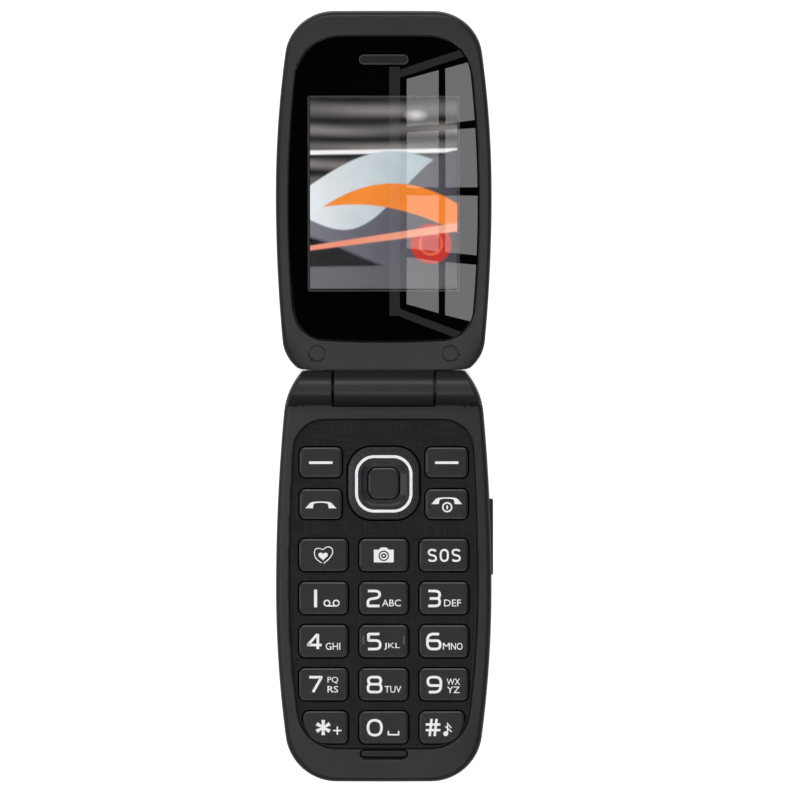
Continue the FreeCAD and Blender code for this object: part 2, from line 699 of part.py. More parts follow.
def key_piece(key):
    """One key: a bevelled cap, a flange that the plate holds down and a pusher under it."""
    cap = key_block(key, 0.0, KEY_CORNER_CUT, FLANGE_BOTTOM_Z, KEY_TOP_Z)
    cap = cap.makeChamfer(KEY_BEVEL, edges_at(cap, KEY_TOP_Z))
    flange = flange_block(key, KEY_FLANGE, FLANGE_BOTTOM_Z, FLANGE_TOP_Z)
    return cap.fuse([flange, pusher(key, FLANGE_BOTTOM_Z)]).removeSplitter()


def nav_outline(low_z, high_z, grow=0.0):
    """The ring's outer outline, grown by a margin."""
    width, length = NAV_WIDTH + 2 * grow, NAV_HEIGHT + 2 * grow
    return rounded(0, NAV_Y, width, length, NAV_CORNER + grow, low_z, high_z, NAV_RUNS)


def nav_ring():
    """The navigation ring: a rounded square that rocks four ways, dished towards the centre
    key, with a flange under the plate."""
    ring = nav_outline(NAV_FLANGE_BOTTOM_Z, NAV_TOP_Z)
    ring = ring.makeChamfer(KEY_BEVEL, edges_at(ring, NAV_TOP_Z))
    width, length = NAV_WIDTH + 2 * KEY_FLANGE, NAV_HEIGHT + 2 * KEY_FLANGE
    ring = ring.fuse(block(0, NAV_Y, width, length, NAV_FLANGE_CUT, NAV_FLANGE_BOTTOM_Z,
                           NAV_FLANGE_TOP_Z))
    dish = block(0, NAV_Y, NAV_DISH_WIDTH, NAV_DISH_WIDTH, NAV_DISH_CORNER_CUT,
                 NAV_TOP_Z - NAV_DISH_DEPTH, NAV_TOP_Z)
    hole = key_block(OK, OK_ROOM, OK_CORNER_CUT, NAV_PAD_TOP_Z, NAV_TOP_Z)
    relief = flange_block(OK, KEY_FLANGE + OK_ROOM, NAV_PAD_TOP_Z, PLATE_BOTTOM_Z)
    return ring.cut([dish, hole, relief])


def nav_pad():
    """The ring's rubber actuator: a frame that carries the ring on its four sides."""
    size = NAV_WIDTH - 4 * KEY_FLANGE
    pad = block(0, NAV_Y, size, size, NAV_CORNER / 2, NAV_PAD_BOTTOM_Z, NAV_PAD_TOP_Z)
    return pad.cut(flange_block(OK, KEY_FLANGE + OK_ROOM, NAV_PAD_BOTTOM_Z, NAV_PAD_TOP_Z))


def ok_key():
    """The centre key: cap, narrow flange under the ring's inner edge and pusher."""
    cap = key_block(OK, 0.0, OK_CORNER_CUT, NAV_PAD_TOP_Z, KEY_TOP_Z)
    cap = cap.makeChamfer(KEY_BEVEL, edges_at(cap, KEY_TOP_Z))
    flange = flange_block(OK, KEY_FLANGE, NAV_PAD_TOP_Z, NAV_PAD_TOP_Z + NAV_FLANGE_THICKNESS)
    return cap.fuse([flange, pusher(OK, NAV_PAD_TOP_Z)]).removeSplitter()


def keypad_plate():
    """The inset plate with a window for each key."""
    plate = PLATE.solid(PLATE_BOTTOM_Z, PLATE_TOP_Z)
    windows = [key_block(key, KEY_ROOM, KEY_CORNER_CUT, PLATE_BOTTOM_Z, PLATE_TOP_Z)
               for key in keypad_keys()]
    return plate.cut(windows + [nav_outline(PLATE_BOTTOM_Z, PLATE_TOP_Z, KEY_ROOM)])


def keypad_mat():
    """The silicone lattice between board and plate that seals round every key."""
    low_z, high_z = DOME_TOP_Z + GLUE, PLATE_BOTTOM_Z - GLUE
    mat = PLATE.solid(low_z, high_z, LEDGE_WIDTH + 2 * KEY_ROOM, hidden=True)
    holes = [flange_block(key, KEY_FLANGE + KEY_ROOM, low_z, high_z) for key in keypad_keys()]
    return mat.cut(holes + [flange_block(NAV, KEY_FLANGE + KEY_ROOM, low_z, high_z)])


def dome_sheet():
    """The film on the board with its metal domes, one under each key and four under the
    ring, drawn as they are pressed."""
    first, last = keypad_keys()[0], keypad_keys()[-1]
    width = PLATE.half_width * 2 - 4 * KEY_HEIGHT / 3
    film = block(0, (first.y + last.y) / 2, width, first.y - last.y + KEY_HEIGHT, KEY_HEIGHT / 3,
                 BOARD_TOP_Z, BOARD_TOP_Z + DOME_FILM)
    reach = NAV_WIDTH / 2 - DOME_SIZE
    small = [(0, NAV_Y), (reach, NAV_Y), (-reach, NAV_Y), (0, NAV_Y + reach), (0, NAV_Y - reach)]
    places = [(key.x, key.y, DOME_SIZE) for key in keypad_keys()]
    places += [(x, y, SMALL_DOME_SIZE) for x, y in small]
    domes = [box(x - size / 2, x + size / 2, y - size / 2, y + size / 2, BOARD_TOP_Z, DOME_TOP_Z)
             for x, y, size in places]
    return film.fuse(domes).removeSplitter()


def bumper_bar():
    """The rubber bar on which the closed lid rests."""
    bar = block(0, BUMPER_Y, BUMPER_LENGTH, BUMPER_WIDTH, BUMPER_WIDTH / 3,
                FACE_Z - PLATE_DEPTH + GLUE, FACE_Z + BUMPER_PROUD)
    return bar.makeChamfer(BUMPER_PROUD, edges_at(bar, FACE_Z + BUMPER_PROUD))


# Inside the base


def main_board():
    """The circuit board, cut back round the screw bosses and the volume key."""
    board = BASE.solid(BOARD_BOTTOM_Z, BOARD_TOP_Z, BOARD_INSET, hidden=True)
    board = board.common(below_end(CAVITY_END_Y - 2 * FIT))
    half = VOLUME_KEY_LENGTH / 2 + WALL
    cuts = [box(switch_x(), BASE.half_width, VOLUME_KEY_Y - half, VOLUME_KEY_Y + half,
                BOARD_BOTTOM_Z, BOARD_TOP_Z)]
    for x, y in base_screw_places():
        reach = BOSS_RADIUS + KEY_ROOM
        cuts.append(box(x - reach, x + reach, y - reach, y + reach, BOARD_BOTTOM_Z, BOARD_TOP_Z))
    return board.cut(cuts)


def under_board(x, y, width, length, height):
    """A block soldered to the board's underside."""
    low_z = BOARD_BOTTOM_Z - height
    return box(x - width / 2, x + width / 2, y - length / 2, y + length / 2, low_z, BOARD_BOTTOM_Z)


def board_shields():
    """Two shield cans on the board, over the bay's floor."""
    width = BATTERY_WIDTH / 2 - BAY_WALL
    length = BATTERY_LENGTH - CARDS_LENGTH - CARDS_INSET
    y = BATTERY_Y - BATTERY_LENGTH / 2 + length / 2
    return [under_board(s * (width / 2 + BAY_WALL), y, width, length, SHIELD_HEIGHT)
            for s in (-1, 1)]


def card_sockets():
    """The two card sockets, side by side in the window of the bay's floor."""
    height = BOARD_BOTTOM_Z - BAY_FLOOR_Z - FIT
    width = CARDS_WIDTH / 2 - 2 * KEY_ROOM
    return [under_board(s * CARDS_WIDTH / 4, CARDS_Y, width, CARDS_LENGTH, height)
            for s in (-1, 1)]


def battery_connector():
    """The sprung contacts that meet the battery's upper end."""
    height = BOARD_BOTTOM_Z - DECK_Z - DECK_THICKNESS / 2
    y = BATTERY_END_Y + CONNECTOR_LENGTH / 2 + KEY_ROOM
    body = under_board(0, y, CONNECTOR_WIDTH, CONNECTOR_LENGTH, height)
    pitch, slot = CONNECTOR_WIDTH / 3, CONNECTOR_WIDTH / 9
    middle_z = (BATTERY_Z + BATTERY_TOP_Z) / 2
    grooves = [box(x - slot / 2, x + slot / 2, BATTERY_END_Y, y - slot, middle_z - slot,
                   middle_z + slot) for x in (-pitch, 0.0, pitch)]
    return body.cut(grooves)


def battery():
    """The flat battery pack, in its bay."""
    return bay(BATTERY_Z, BATTERY_TOP_Z, 0)


def loudspeaker():
    """The loudspeaker on the deck, over its slots, with its diaphragm set back."""
    low_z = DECK_TOP_Z + FIT
    corner = SPEAKER_LENGTH / 5
    body = block(SPEAKER_X, SPEAKER_Y, SPEAKER_WIDTH, SPEAKER_LENGTH, corner, low_z,
                 low_z + SPEAKER_HEIGHT)
    front = flats(SPEAKER_X, SPEAKER_Y, SPEAKER_LENGTH / 2 - 1, low_z, low_z + 2 * KEY_ROOM)
    return body.cut(front)


def vibration_motor():
    """The motor can with the off-centre weight on its shaft, beside the loudspeaker."""
    z = DECK_TOP_Z + FIT + MOTOR_RADIUS
    start = SPEAKER_X + SPEAKER_WIDTH / 2 + MOTOR_RADIUS
    end = start + 2.5 * MOTOR_RADIUS
    tip = end + 2 * MOTOR_RADIUS
    can = flats(0, 0, MOTOR_RADIUS, start, end, ROUND_SIDES)
    can.rotate(Vector(0, 0, 0), Vector(0, 1, 0), 90)
    can.translate(Vector(0, SPEAKER_Y, z))
    shaft = box(end, tip, SPEAKER_Y - KEY_ROOM, SPEAKER_Y + KEY_ROOM, z - KEY_ROOM, z + KEY_ROOM)
    reach = MOTOR_RADIUS - FIT
    weight = box(end + 2 * KEY_ROOM, tip - KEY_ROOM, SPEAKER_Y - reach, SPEAKER_Y + reach,
                 z - KEY_ROOM, z + reach)
    return can.fuse([shaft, weight]).removeSplitter()


def microphone():
    """The microphone, under the board beside the charging socket."""
    width, length, height = 3.8, 3.0, 1.1
    x = SOCKET_WIDTH + width / 10
    return under_board(x, BASE.ends[-1].y + BOARD_INSET + length / 2 + FIT, width, length, height)


def charging_socket():
    """The charging socket: a metal shell, open at the front, with the contact tongue."""
    half = SOCKET_WIDTH / 2
    front_y = BASE.ends[-1].y + SOCKET_INSET
    back_y = front_y + SOCKET_DEPTH
    low_z = SOCKET_TOP_Z - SOCKET_HEIGHT
    shell = box(-half, half, front_y, back_y, low_z, SOCKET_TOP_Z)
    mouth = box(-half + SOCKET_SKIN, half - SOCKET_SKIN, front_y, back_y - 2 * SOCKET_SKIN,
                low_z + SOCKET_SKIN, SOCKET_TOP_Z - SOCKET_SKIN)
    tongue = box(-half / 2, half / 2, front_y + 4 * SOCKET_SKIN, back_y - SOCKET_SKIN,
                 SOCKET_Z - SOCKET_SKIN, SOCKET_Z + SOCKET_SKIN)
    return shell.cut(mouth).fuse(tongue).removeSplitter()


def antenna():
    """The antenna's carrier, in the base's hinge end, with three slots."""
    top_y = BASE_END_Y - WALL - FIT
    low_z = DECK_TOP_Z + FIT
    y, slot = top_y - ANTENNA_LENGTH / 2, ANTENNA_SLOT
    carrier = block(0, y, ANTENNA_WIDTH, ANTENNA_LENGTH, slot, low_z, BASE_PARTING_Z - 2 * slot / 3)
    slots = [box(x - slot / 2, x + slot / 2, top_y - ANTENNA_LENGTH + slot, top_y - slot, low_z,
                 BASE_PARTING_Z) for x in (-ANTENNA_WIDTH / 4, 0.0, ANTENNA_WIDTH / 4)]
    return carrier.cut(slots)


def switch_x():
    """Where the board's edge lies behind the volume key's switches."""
    return volume_flange_x() - VOLUME_FLANGE - VOLUME_ROCK_ROOM - SWITCH_DEPTH


def side_switches():
    """The two switches at the board's edge that the volume key works."""
    reach = VOLUME_KEY_LENGTH / 2 - 2 * SWITCH_DEPTH
    half = VOLUME_KEY_HEIGHT / 2
    return [box(switch_x(), switch_x() + SWITCH_DEPTH, VOLUME_KEY_Y + s * reach - SWITCH_DEPTH,
                VOLUME_KEY_Y + s * reach + SWITCH_DEPTH, VOLUME_KEY_Z - half, VOLUME_KEY_Z + half)
            for s in (-1, 1)]


def lid_sensor():
    """The sensor that notices the lid's magnet when the phone is shut."""
    size = 2.4
    return under_board(-MAGNET_X, HINGE_Y - MAGNET_REACH, size, size * 3 / 4, size / 3)


def screw(x, y, head_z, tip_z):
    """A screw whose head starts at head_z and whose shank reaches to tip_z."""
    neck_z = head_z + SCREW_HEAD_HEIGHT * (1 if tip_z > head_z else -1)
    head = flats(x, y, SCREW_HEAD_RADIUS, min(head_z, neck_z), max(head_z, neck_z))
    shank = flats(x, y, SCREW_RADIUS, min(neck_z, tip_z), max(neck_z, tip_z))
    return head.fuse(shank)


def base_screws():
    """Four screws from under the battery door up into the front cover."""
    head_z = DECK_Z + SCREW_HEAD_ROOM
    return [screw(x, y, head_z, LEDGE_BOTTOM_Z - 2 * FIT) for x, y in base_screw_places()]


def volume_key():
    """The side key: a rounded bar that stands proud of the frame, a flange inside the wall
    and a short pivot post in its middle."""
    inside = volume_flange_x()
    outside = side_x(VOLUME_KEY_Y) + VOLUME_KEY_PROUD
    cap = volume_key_bar(inside - VOLUME_FLANGE, outside, 0)
    outer = [e for e in cap.Edges if abs(e.BoundBox.XMin - outside) < 1e-4]
    cap = cap.makeChamfer(KEY_BEVEL, outer)
    half = VOLUME_KEY_LENGTH / 2 + VOLUME_FLANGE
    low_z, high_z = VOLUME_KEY_Z - VOLUME_KEY_HEIGHT / 2, VOLUME_KEY_Z + VOLUME_KEY_HEIGHT / 2
    flange = box(inside - VOLUME_FLANGE, inside, VOLUME_KEY_Y - half, VOLUME_KEY_Y + half, low_z, high_z)
    pivot = post(inside - VOLUME_FLANGE, VOLUME_KEY_Y, VOLUME_PIVOT_RADIUS, low_z, high_z)
    return cap.fuse([flange, pivot]).removeSplitter()


# Hinge


def hinge_shaft():
    """The cam's shaft: a square head keyed in the left knuckle, a round neck inside the
    sprung cartridge."""
    head_start = KNUCKLE_START + FIT
    head = shaft_head(shaft_size(), -KNUCKLE_START - SHAFT_HEAD_LENGTH, -head_start)
    return head.fuse(rod(CAM_SHAFT_RADIUS, -head_start, -CAM_SHAFT_REACH))


def hinge_cartridge():
    """The sprung cam's can, fixed in the lid's barrel: it clicks the lid open and shut."""
    can = rod(HINGE_BORE - RUNNING_FIT, FIT - BARREL_HALF_LENGTH, FLEX_COIL_START - 2 * DRAFT_ROOM)
    bore = rod(CAM_SHAFT_RADIUS + RUNNING_FIT, -KNUCKLE_START, DRAFT_ROOM - CAM_SHAFT_REACH)
    return can.cut(bore)


def hinge_pin():
    """The hollow pin in the right knuckle on which the barrel turns, with the cable inside."""
    start = BARREL_HALF_LENGTH - PIN_OVERLAP
    pin = rod(HINGE_BORE - RUNNING_FIT / 2, start, start + PIN_LENGTH + BARREL_GAP)
    return pin.cut(along_hinge(flats(0, 0, PIN_BORE, 0, BASE.half_width, ROUND_SIDES)))


def flex_cable():
    """The flat cable: wound round the hinge axis inside the barrel, with its tail stepping
    down behind the display to the lid's board."""
    end = KNUCKLE_START + PIN_LENGTH - PIN_OVERLAP - BARREL_GAP
    coil = flats(0, 0, FLEX_COIL_RADIUS, FLEX_COIL_START, end, ROUND_SIDES)
    coil = coil.cut(flats(0, 0, FLEX_COIL_RADIUS - FLEX_SKIN, 0, BASE.half_width, ROUND_SIDES))
    coil = along_hinge(coil)
    low_x, high_x = FLEX_COIL_START + FLEX_SKIN, FLEX_COIL_START + FLEX_SKIN + FLEX_WIDTH
    high_z = HINGE_Z - FLEX_COIL_RADIUS + FLEX_TAPE
    low_z = LID_BOARD_TOP_Z + FLEX_TAPE / 3
    drop_y = HINGE_Y + FLEX_DROP_REACH
    tail = box(low_x, high_x, HINGE_Y, drop_y, high_z - FLEX_TAPE, high_z)
    drop = box(low_x, high_x, drop_y - FLEX_TAPE, drop_y, low_z, high_z)
    board_y = LID_BOARD_Y - LID_BOARD_LENGTH / 2
    foot = box(low_x, high_x, drop_y - FLEX_TAPE, board_y + FLEX_WIDTH / 2, low_z, low_z + FLEX_TAPE)
    return coil.fuse([tail, drop, foot]).removeSplitter()


# Lid, drawn opened flat


def lid_screw_places():
    return [(s * SCREW_CAP_X, HINGE_Y + SCREW_CAP_REACH) for s in (-1, 1)]


def neck_block(grow):
    """The neck between the lid and its hinge barrel, grown by a margin."""
    half = BARREL_HALF_LENGTH + grow
    return box(-half, half, HINGE_Y, HINGE_Y + LID_END + WALL / 3 + grow,
               HINGE_Z - KNUCKLE_RADIUS + DRAFT_ROOM - grow, FACE_Z)


def lid_front_bezel():
    """The lid's inner cover: a bevelled frame with the window's seat, joined by a neck to the
    barrel that turns between the base's knuckles."""
    low_z = LID_PARTING_Z + HALF_PARTING_GAP
    form = LID.solid(low_z, FACE_Z)
    form = form.makeChamfer(LID_RIM_BEVEL, edges_at(form, FACE_Z))
    form = form.common(beyond(HINGE_Y + LID_END))
    cavity = LID.solid(low_z - WALL, LENS_LEDGE_BOTTOM_Z, WALL, hidden=True)
    cover = form.cut(cavity.common(beyond(HINGE_Y + LID_END + WALL)))
    half = BARREL_HALF_LENGTH
    bosses = [flats(x, y, LID_BOSS_RADIUS, low_z, FACE_Z - WALL / 2)
              for x, y in lid_screw_places()]
    cover = cover.fuse([neck_block(0), rod(KNUCKLE_RADIUS, -half, half)] + bosses)
    flex_high_z = HINGE_Z - FLEX_COIL_RADIUS + FLEX_TAPE + DRAFT_ROOM
    cuts = [
        LENS.solid(LENS_SEAT_Z, FACE_Z + WALL, -FIT),
        LENS.solid(low_z - WALL, FACE_Z, LENS_LEDGE, hidden=True),
        rod(HINGE_BORE, -half - BARREL_GAP, half + BARREL_GAP),
        box(FLEX_COIL_START, FLEX_COIL_START + FLEX_WIDTH + 2 * FLEX_SKIN, HINGE_Y,
            HINGE_Y + FLEX_DROP_REACH + DRAFT_ROOM, flex_high_z - 3 * DRAFT_ROOM, flex_high_z),
    ]
    cap_z = FACE_Z - SCREW_CAP_THICKNESS - FIT
    for x, y in lid_screw_places():
        cuts.append(flats(x, y, SCREW_PASS, low_z - WALL, cap_z))
        cuts.append(flats(x, y, SCREW_HEAD_RADIUS + SCREW_HEAD_ROOM,
                          cap_z - SCREW_HEAD_HEIGHT - 2 * SCREW_HEAD_ROOM, cap_z))
        cuts.append(flats(x, y, SCREW_CAP_RADIUS + FIT, cap_z, FACE_Z + WALL, ROUND_SIDES))
    return cover.cut(cuts)


def outer_window_slab(low_z, high_z, grow):
    """The outline of the window on the lid's outside, grown by a margin."""
    width = OUTER_WINDOW_WIDTH + 2 * grow
    length = OUTER_WINDOW_LENGTH + 2 * grow
    return slab(0, OUTER_WINDOW_Y, width, length, OUTER_WINDOW_CORNER + grow, low_z, high_z)


def outer_window_opening(low_z, high_z):
    """The hole in the rear cover behind the outer window."""
    width = OUTER_WINDOW_WIDTH - 2 * OUTER_WINDOW_LEDGE
    length = OUTER_WINDOW_LENGTH - 2 * OUTER_WINDOW_LEDGE
    return block(0, OUTER_WINDOW_Y, width, length, OUTER_WINDOW_CORNER / 2, low_z, high_z)


def lid_rear_cover():
    """The lid's outer cover, whose walls lean in towards the back, with the seat of the outer
    window, the bosses that take the lid's screws and a notch for the inner cover's neck."""
    top_z = LID_PARTING_Z - HALF_PARTING_GAP
    form = LID.drafted(LID_BACK_Z, top_z, LID_DRAFT).common(beyond(HINGE_Y + LID_END))
    cavity = LID.solid(OUTER_SKIN_Z, top_z + WALL, WALL + LID_DRAFT, hidden=True)
    cover = form.cut(cavity.common(beyond(HINGE_Y + LID_END + WALL)))
    bosses = [flats(x, y, LID_BOSS_RADIUS, OUTER_SKIN_Z - DRAFT_ROOM, top_z)
              for x, y in lid_screw_places()]
    cover = cover.fuse(bosses)
    seat_z = LID_BACK_Z + GLUE + OUTER_WINDOW_THICKNESS + GLUE
    cuts = [
        outer_window_slab(LID_BACK_Z - WALL, seat_z, FIT),
        outer_window_opening(LID_BACK_Z, OUTER_SKIN_Z + FIT),
        neck_block(FIT),
    ]
    cuts += [flats(x, y, SCREW_PILOT, OUTER_SKIN_Z + WALL / 3, top_z + WALL)
             for x, y in lid_screw_places()]
    return cover.cut(cuts)


def display_window():
    """The glossy window over the display, with the slot for the earpiece."""
    lens = LENS.solid(LENS_BOTTOM_Z, LENS_TOP_Z)
    return lens.cut(pill(0, EARPIECE_Y, EARPIECE_WIDTH, EARPIECE_HEIGHT, LENS_BOTTOM_Z, LENS_TOP_Z))


def display_module():
    """The display with its frame."""
    return block(0, HINGE_Y + DISPLAY_REACH, DISPLAY_WIDTH, DISPLAY_LENGTH, GLUE,
                 DISPLAY_BOTTOM_Z, DISPLAY_TOP_Z)


def earpiece_mesh():
    """The mesh in the window's earpiece slot, set a little below its face."""
    return pill(0, EARPIECE_Y, EARPIECE_WIDTH - 2 * FIT, EARPIECE_HEIGHT - 2 * FIT,
                LENS_BOTTOM_Z + DRAFT_ROOM, LENS_TOP_Z - DRAFT_ROOM)


def earpiece_speaker():
    """The small speaker behind the mesh."""
    width, length, height, sunk = 12.5, 6.4, 2.2, 0.4
    body = block(0, EARPIECE_Y, width, length, sunk, DISPLAY_TOP_Z - height, DISPLAY_TOP_Z)
    mouth_width, mouth_length = width * 3 / 4, length / 2
    return body.cut(block(0, EARPIECE_Y, mouth_width, mouth_length, sunk, DISPLAY_TOP_Z - sunk,
                          DISPLAY_TOP_Z))


def lid_screw_caps():
    """The round caps over the lid's two screws."""
    return [flats(x, y, SCREW_CAP_RADIUS, FACE_Z - SCREW_CAP_THICKNESS, FACE_Z - GLUE, ROUND_SIDES)
            for x, y in lid_screw_places()]


def lid_screws():
    """Two screws from under the caps down into the rear cover."""
    head_z = FACE_Z - SCREW_CAP_THICKNESS - FIT - SCREW_HEAD_ROOM
    return [screw(x, y, head_z, OUTER_SKIN_Z + WALL / 2) for x, y in lid_screw_places()]


def lid_board():
    """The lid's circuit board behind the display."""
    return block(0, LID_BOARD_Y, LID_BOARD_WIDTH, LID_BOARD_LENGTH, 2 * WALL,
                 LID_BOARD_Z, LID_BOARD_TOP_Z)


def lid_magnet():
    """The magnet that tells the base's sensor that the lid is shut."""
    width, length = 5.0, 3.0
    return block(-MAGNET_X, HINGE_Y + MAGNET_REACH, width, length, GLUE,
                 LID_BOARD_TOP_Z + 2 * DRAFT_ROOM, LENS_LEDGE_BOTTOM_Z - FIT)


def camera_module():
    """The camera: a square body and the round barrel that shows in the outer window."""
    body_z = OUTER_SKIN_Z + FIT
    body = block(0, CAMERA_Y, CAMERA_BODY, CAMERA_BODY, CAMERA_BODY / 10, body_z, LID_BOARD_Z - FIT)
    barrel = flats(0, CAMERA_Y, CAMERA_BARREL, LID_BACK_Z + 3 * GLUE, body_z, CAMERA_SIDES)
    return body.fuse(barrel)


def outer_window():
    """The glossy window on the lid's outside, with a hole for the camera."""
    low_z = LID_BACK_Z + GLUE
    window = outer_window_slab(low_z, low_z + OUTER_WINDOW_THICKNESS, 0)
    return window.cut(flats(0, CAMERA_Y, CAMERA_BARREL + FIT, LID_BACK_Z, OUTER_SKIN_Z, CAMERA_SIDES))


def outer_display_module():
    """The small display that shows through the outer window, on the hinge's side of the camera."""
    low_z = LID_BACK_Z + GLUE + OUTER_WINDOW_THICKNESS + 2 * GLUE
    y = CAMERA_Y - CAMERA_BODY / 2 - 2 * WALL / 3 - OUTER_DISPLAY_LENGTH / 2
    return block(0, y, OUTER_DISPLAY_WIDTH, OUTER_DISPLAY_LENGTH, GLUE, low_z,
                 low_z + OUTER_DISPLAY_THICKNESS)


BASE_PIECES = {
    "base_front_cover": base_front_cover,
    "base_rear_case": base_rear_case,
    "battery_door": battery_door,
    "keypad_plate": keypad_plate,
    "keypad_mat": keypad_mat,
    "dome_sheet": dome_sheet,
    "nav_ring": nav_ring,
    "nav_pad": nav_pad,
    "ok_key": ok_key,
    "volume_key": volume_key,
    "bumper_bar": bumper_bar,
    "main_board": main_board,
    "board_shields": board_shields,
    "card_sockets": card_sockets,
    "battery": battery,
    "battery_connector": battery_connector,
    "loudspeaker": loudspeaker,
    "vibration_motor": vibration_motor,
    "microphone": microphone,
    "charging_socket": charging_socket,
    "antenna": antenna,
    "side_switches": side_switches,
    "lid_sensor": lid_sensor,
    "base_screws": base_screws,
    "hinge_shaft": hinge_shaft,
    "hinge_pin": hinge_pin,
}
LID_PIECES = {
    "lid_front_bezel": lid_front_bezel,
    "lid_rear_cover": lid_rear_cover,
    "display_window": display_window,
    "display_module": display_module,
    "earpiece_mesh": earpiece_mesh,
    "earpiece_speaker": earpiece_speaker,
    "lid_screw_caps": lid_screw_caps,
    "lid_screws": lid_screws,
    "lid_board": lid_board,
    "lid_magnet": lid_magnet,
    "camera_module": camera_module,
    "outer_window": outer_window,
    "outer_display_module": outer_display_module,
    "hinge_cartridge": hinge_cartridge,
    "flex_cable": flex_cable,
}


def write(name, made, tilt=0.0):
    """Writes one piece, or a group of like pieces, as its own file."""
    shape = Part.makeCompound(made) if isinstance(made, list) else made
    solids = shape.Solids
    shape = solids[0] if len(solids) == 1 else Part.makeCompound(solids)
    if tilt:
        shape.rotate(Vector(0, HINGE_Y, HINGE_Z), Vector(1, 0, 0), tilt)
    shape.exportStep(f"parts/{name}.step")


os.makedirs("parts", exist_ok=True)
for node, piece in BASE_PIECES.items():
    write(node, piece())
for key in keypad_keys():
    write(f"key_{key.name}", key_piece(key))
for node, piece in LID_PIECES.items():
    write(node, piece(), OPEN_TILT)
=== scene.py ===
import json
from math import atan2, cos, hypot, pi, radians, sin, sqrt

import bmesh
import bpy
import numpy as np
from mathutils import Matrix, Vector


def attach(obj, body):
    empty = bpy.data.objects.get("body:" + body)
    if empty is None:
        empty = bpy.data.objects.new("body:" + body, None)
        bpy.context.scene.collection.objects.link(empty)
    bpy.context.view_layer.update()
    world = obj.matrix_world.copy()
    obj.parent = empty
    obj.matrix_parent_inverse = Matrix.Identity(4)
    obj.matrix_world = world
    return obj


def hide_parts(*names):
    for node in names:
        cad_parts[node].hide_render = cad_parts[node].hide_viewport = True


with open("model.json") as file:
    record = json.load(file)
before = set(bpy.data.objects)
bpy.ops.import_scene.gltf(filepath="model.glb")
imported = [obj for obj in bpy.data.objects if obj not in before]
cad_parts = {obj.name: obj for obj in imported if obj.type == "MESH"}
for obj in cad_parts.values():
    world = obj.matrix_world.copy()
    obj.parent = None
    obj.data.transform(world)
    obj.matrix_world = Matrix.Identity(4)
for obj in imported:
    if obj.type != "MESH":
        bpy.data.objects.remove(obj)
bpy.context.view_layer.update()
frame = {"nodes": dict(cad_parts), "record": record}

# Camera
# A very long lens straight above the opened phone, which lies on its back with the lid
# towards the top of the picture. The picture is 200 mm wide at the keypad's face.
MM = 0.001
VIEW_WIDTH = 200.0
VIEW_CENTRE = (4.06, 47.0, 11.6)
FOCAL_LENGTH = 1000.0


def placed(name, data):
    """A new object in the scene."""
    made = bpy.data.objects.new(name, data)
    bpy.context.scene.collection.objects.link(made)
    return made


camera_data = bpy.data.cameras.new("camera")
camera_data.lens = FOCAL_LENGTH
camera = placed("camera", camera_data)
camera_height = VIEW_WIDTH * MM * FOCAL_LENGTH / camera_data.sensor_width
camera.location = Vector(VIEW_CENTRE) * MM + Vector((0, 0, camera_height))
camera_data.clip_end = 2 * camera_height
bpy.context.scene.camera = camera
bpy.context.scene.view_settings.view_transform = "Standard"

# Studio
# A white floor that keeps the shadow under the phone, a dim room that is brighter right
# overhead, a soft lamp above, and three strips that draw light lines along rounded edges.
AIM = (0, 0.05, 0.01)
FLOOR_REACH = 3.0
FLOOR_MIRRORED = 0.3
SHADOW_REACH = 0.02
SHADOW_COVER = (0.28, 0.4)


def linear(red, green, blue):
    """A colour as a screen shows it, 0 to 255, as the shader's light values."""
    share = np.array([red, green, blue]) / 255
    return (*np.where(share < 0.04045, share / 12.92, ((share + 0.055) / 1.055) ** 2.4), 1)


def softbox(name, place, aim, width, length, power, glossy=True):
    """A soft lamp at a place in metres, turned to face a point."""
    lamp = bpy.data.lights.new(name, "AREA")
    lamp.shape = "RECTANGLE"
    lamp.size, lamp.size_y, lamp.energy = width, length, power
    holder = placed(name, lamp)
    holder.location = place
    holder.rotation_euler = (Vector(aim) - Vector(place)).to_track_quat("-Z", "Y").to_euler()
    holder.visible_camera = False
    holder.visible_glossy = glossy


def feed(tree, node, inputs):
    """Sets each named input of a shader node to a value, or joins it to a socket."""
    for name, value in dict(inputs).items():
        if isinstance(value, bpy.types.NodeSocket):
            tree.links.new(value, node.inputs[name])
        else:
            node.inputs[name].default_value = value


def shading(tree, kind, inputs=(), **settings):
    """A new shader node with its settings and its inputs."""
    node = tree.nodes.new("ShaderNode" + kind)
    for name, value in settings.items():
        setattr(node, name, value)
    feed(tree, node, inputs)
    return node


def dress(material, inputs):
    """Sets or joins inputs of a material's surface shader."""
    tree = material.node_tree
    feed(tree, tree.nodes["Principled BSDF"], inputs)


def plain_material(name, inputs):
    """A new material with inputs of its surface shader set."""
    material = bpy.data.materials.new(name)
    material.use_nodes = True
    dress(material, inputs)
    return material


def ramp(tree, share, stops, way="LINEAR"):
    """The colours of a ramp whose stops are places from 0 to 1, each with its colour."""
    node = shading(tree, "ValToRGB", {"Fac": share})
    node.color_ramp.interpolation = way
    elements = node.color_ramp.elements
    for n, (at, colour) in enumerate(stops):
        stop = elements[n] if n < 2 else elements.new(1.0)
        stop.position, stop.color = at, colour
    return node.outputs["Color"]


softbox("top_lamp", (0, 0.05, 0.95), AIM, 0.55, 0.55, 3.8, glossy=False)
softbox("head_lamp", (0, 0.6, 0.73), AIM, 1.0, 0.16, 2.5)
softbox("left_lamp", (-0.55, 0.05, 0.73), AIM, 0.16, 1.0, 1.2)
softbox("foot_lamp", (0, -0.5, 0.8), AIM, 1.0, 0.12, 1.25)

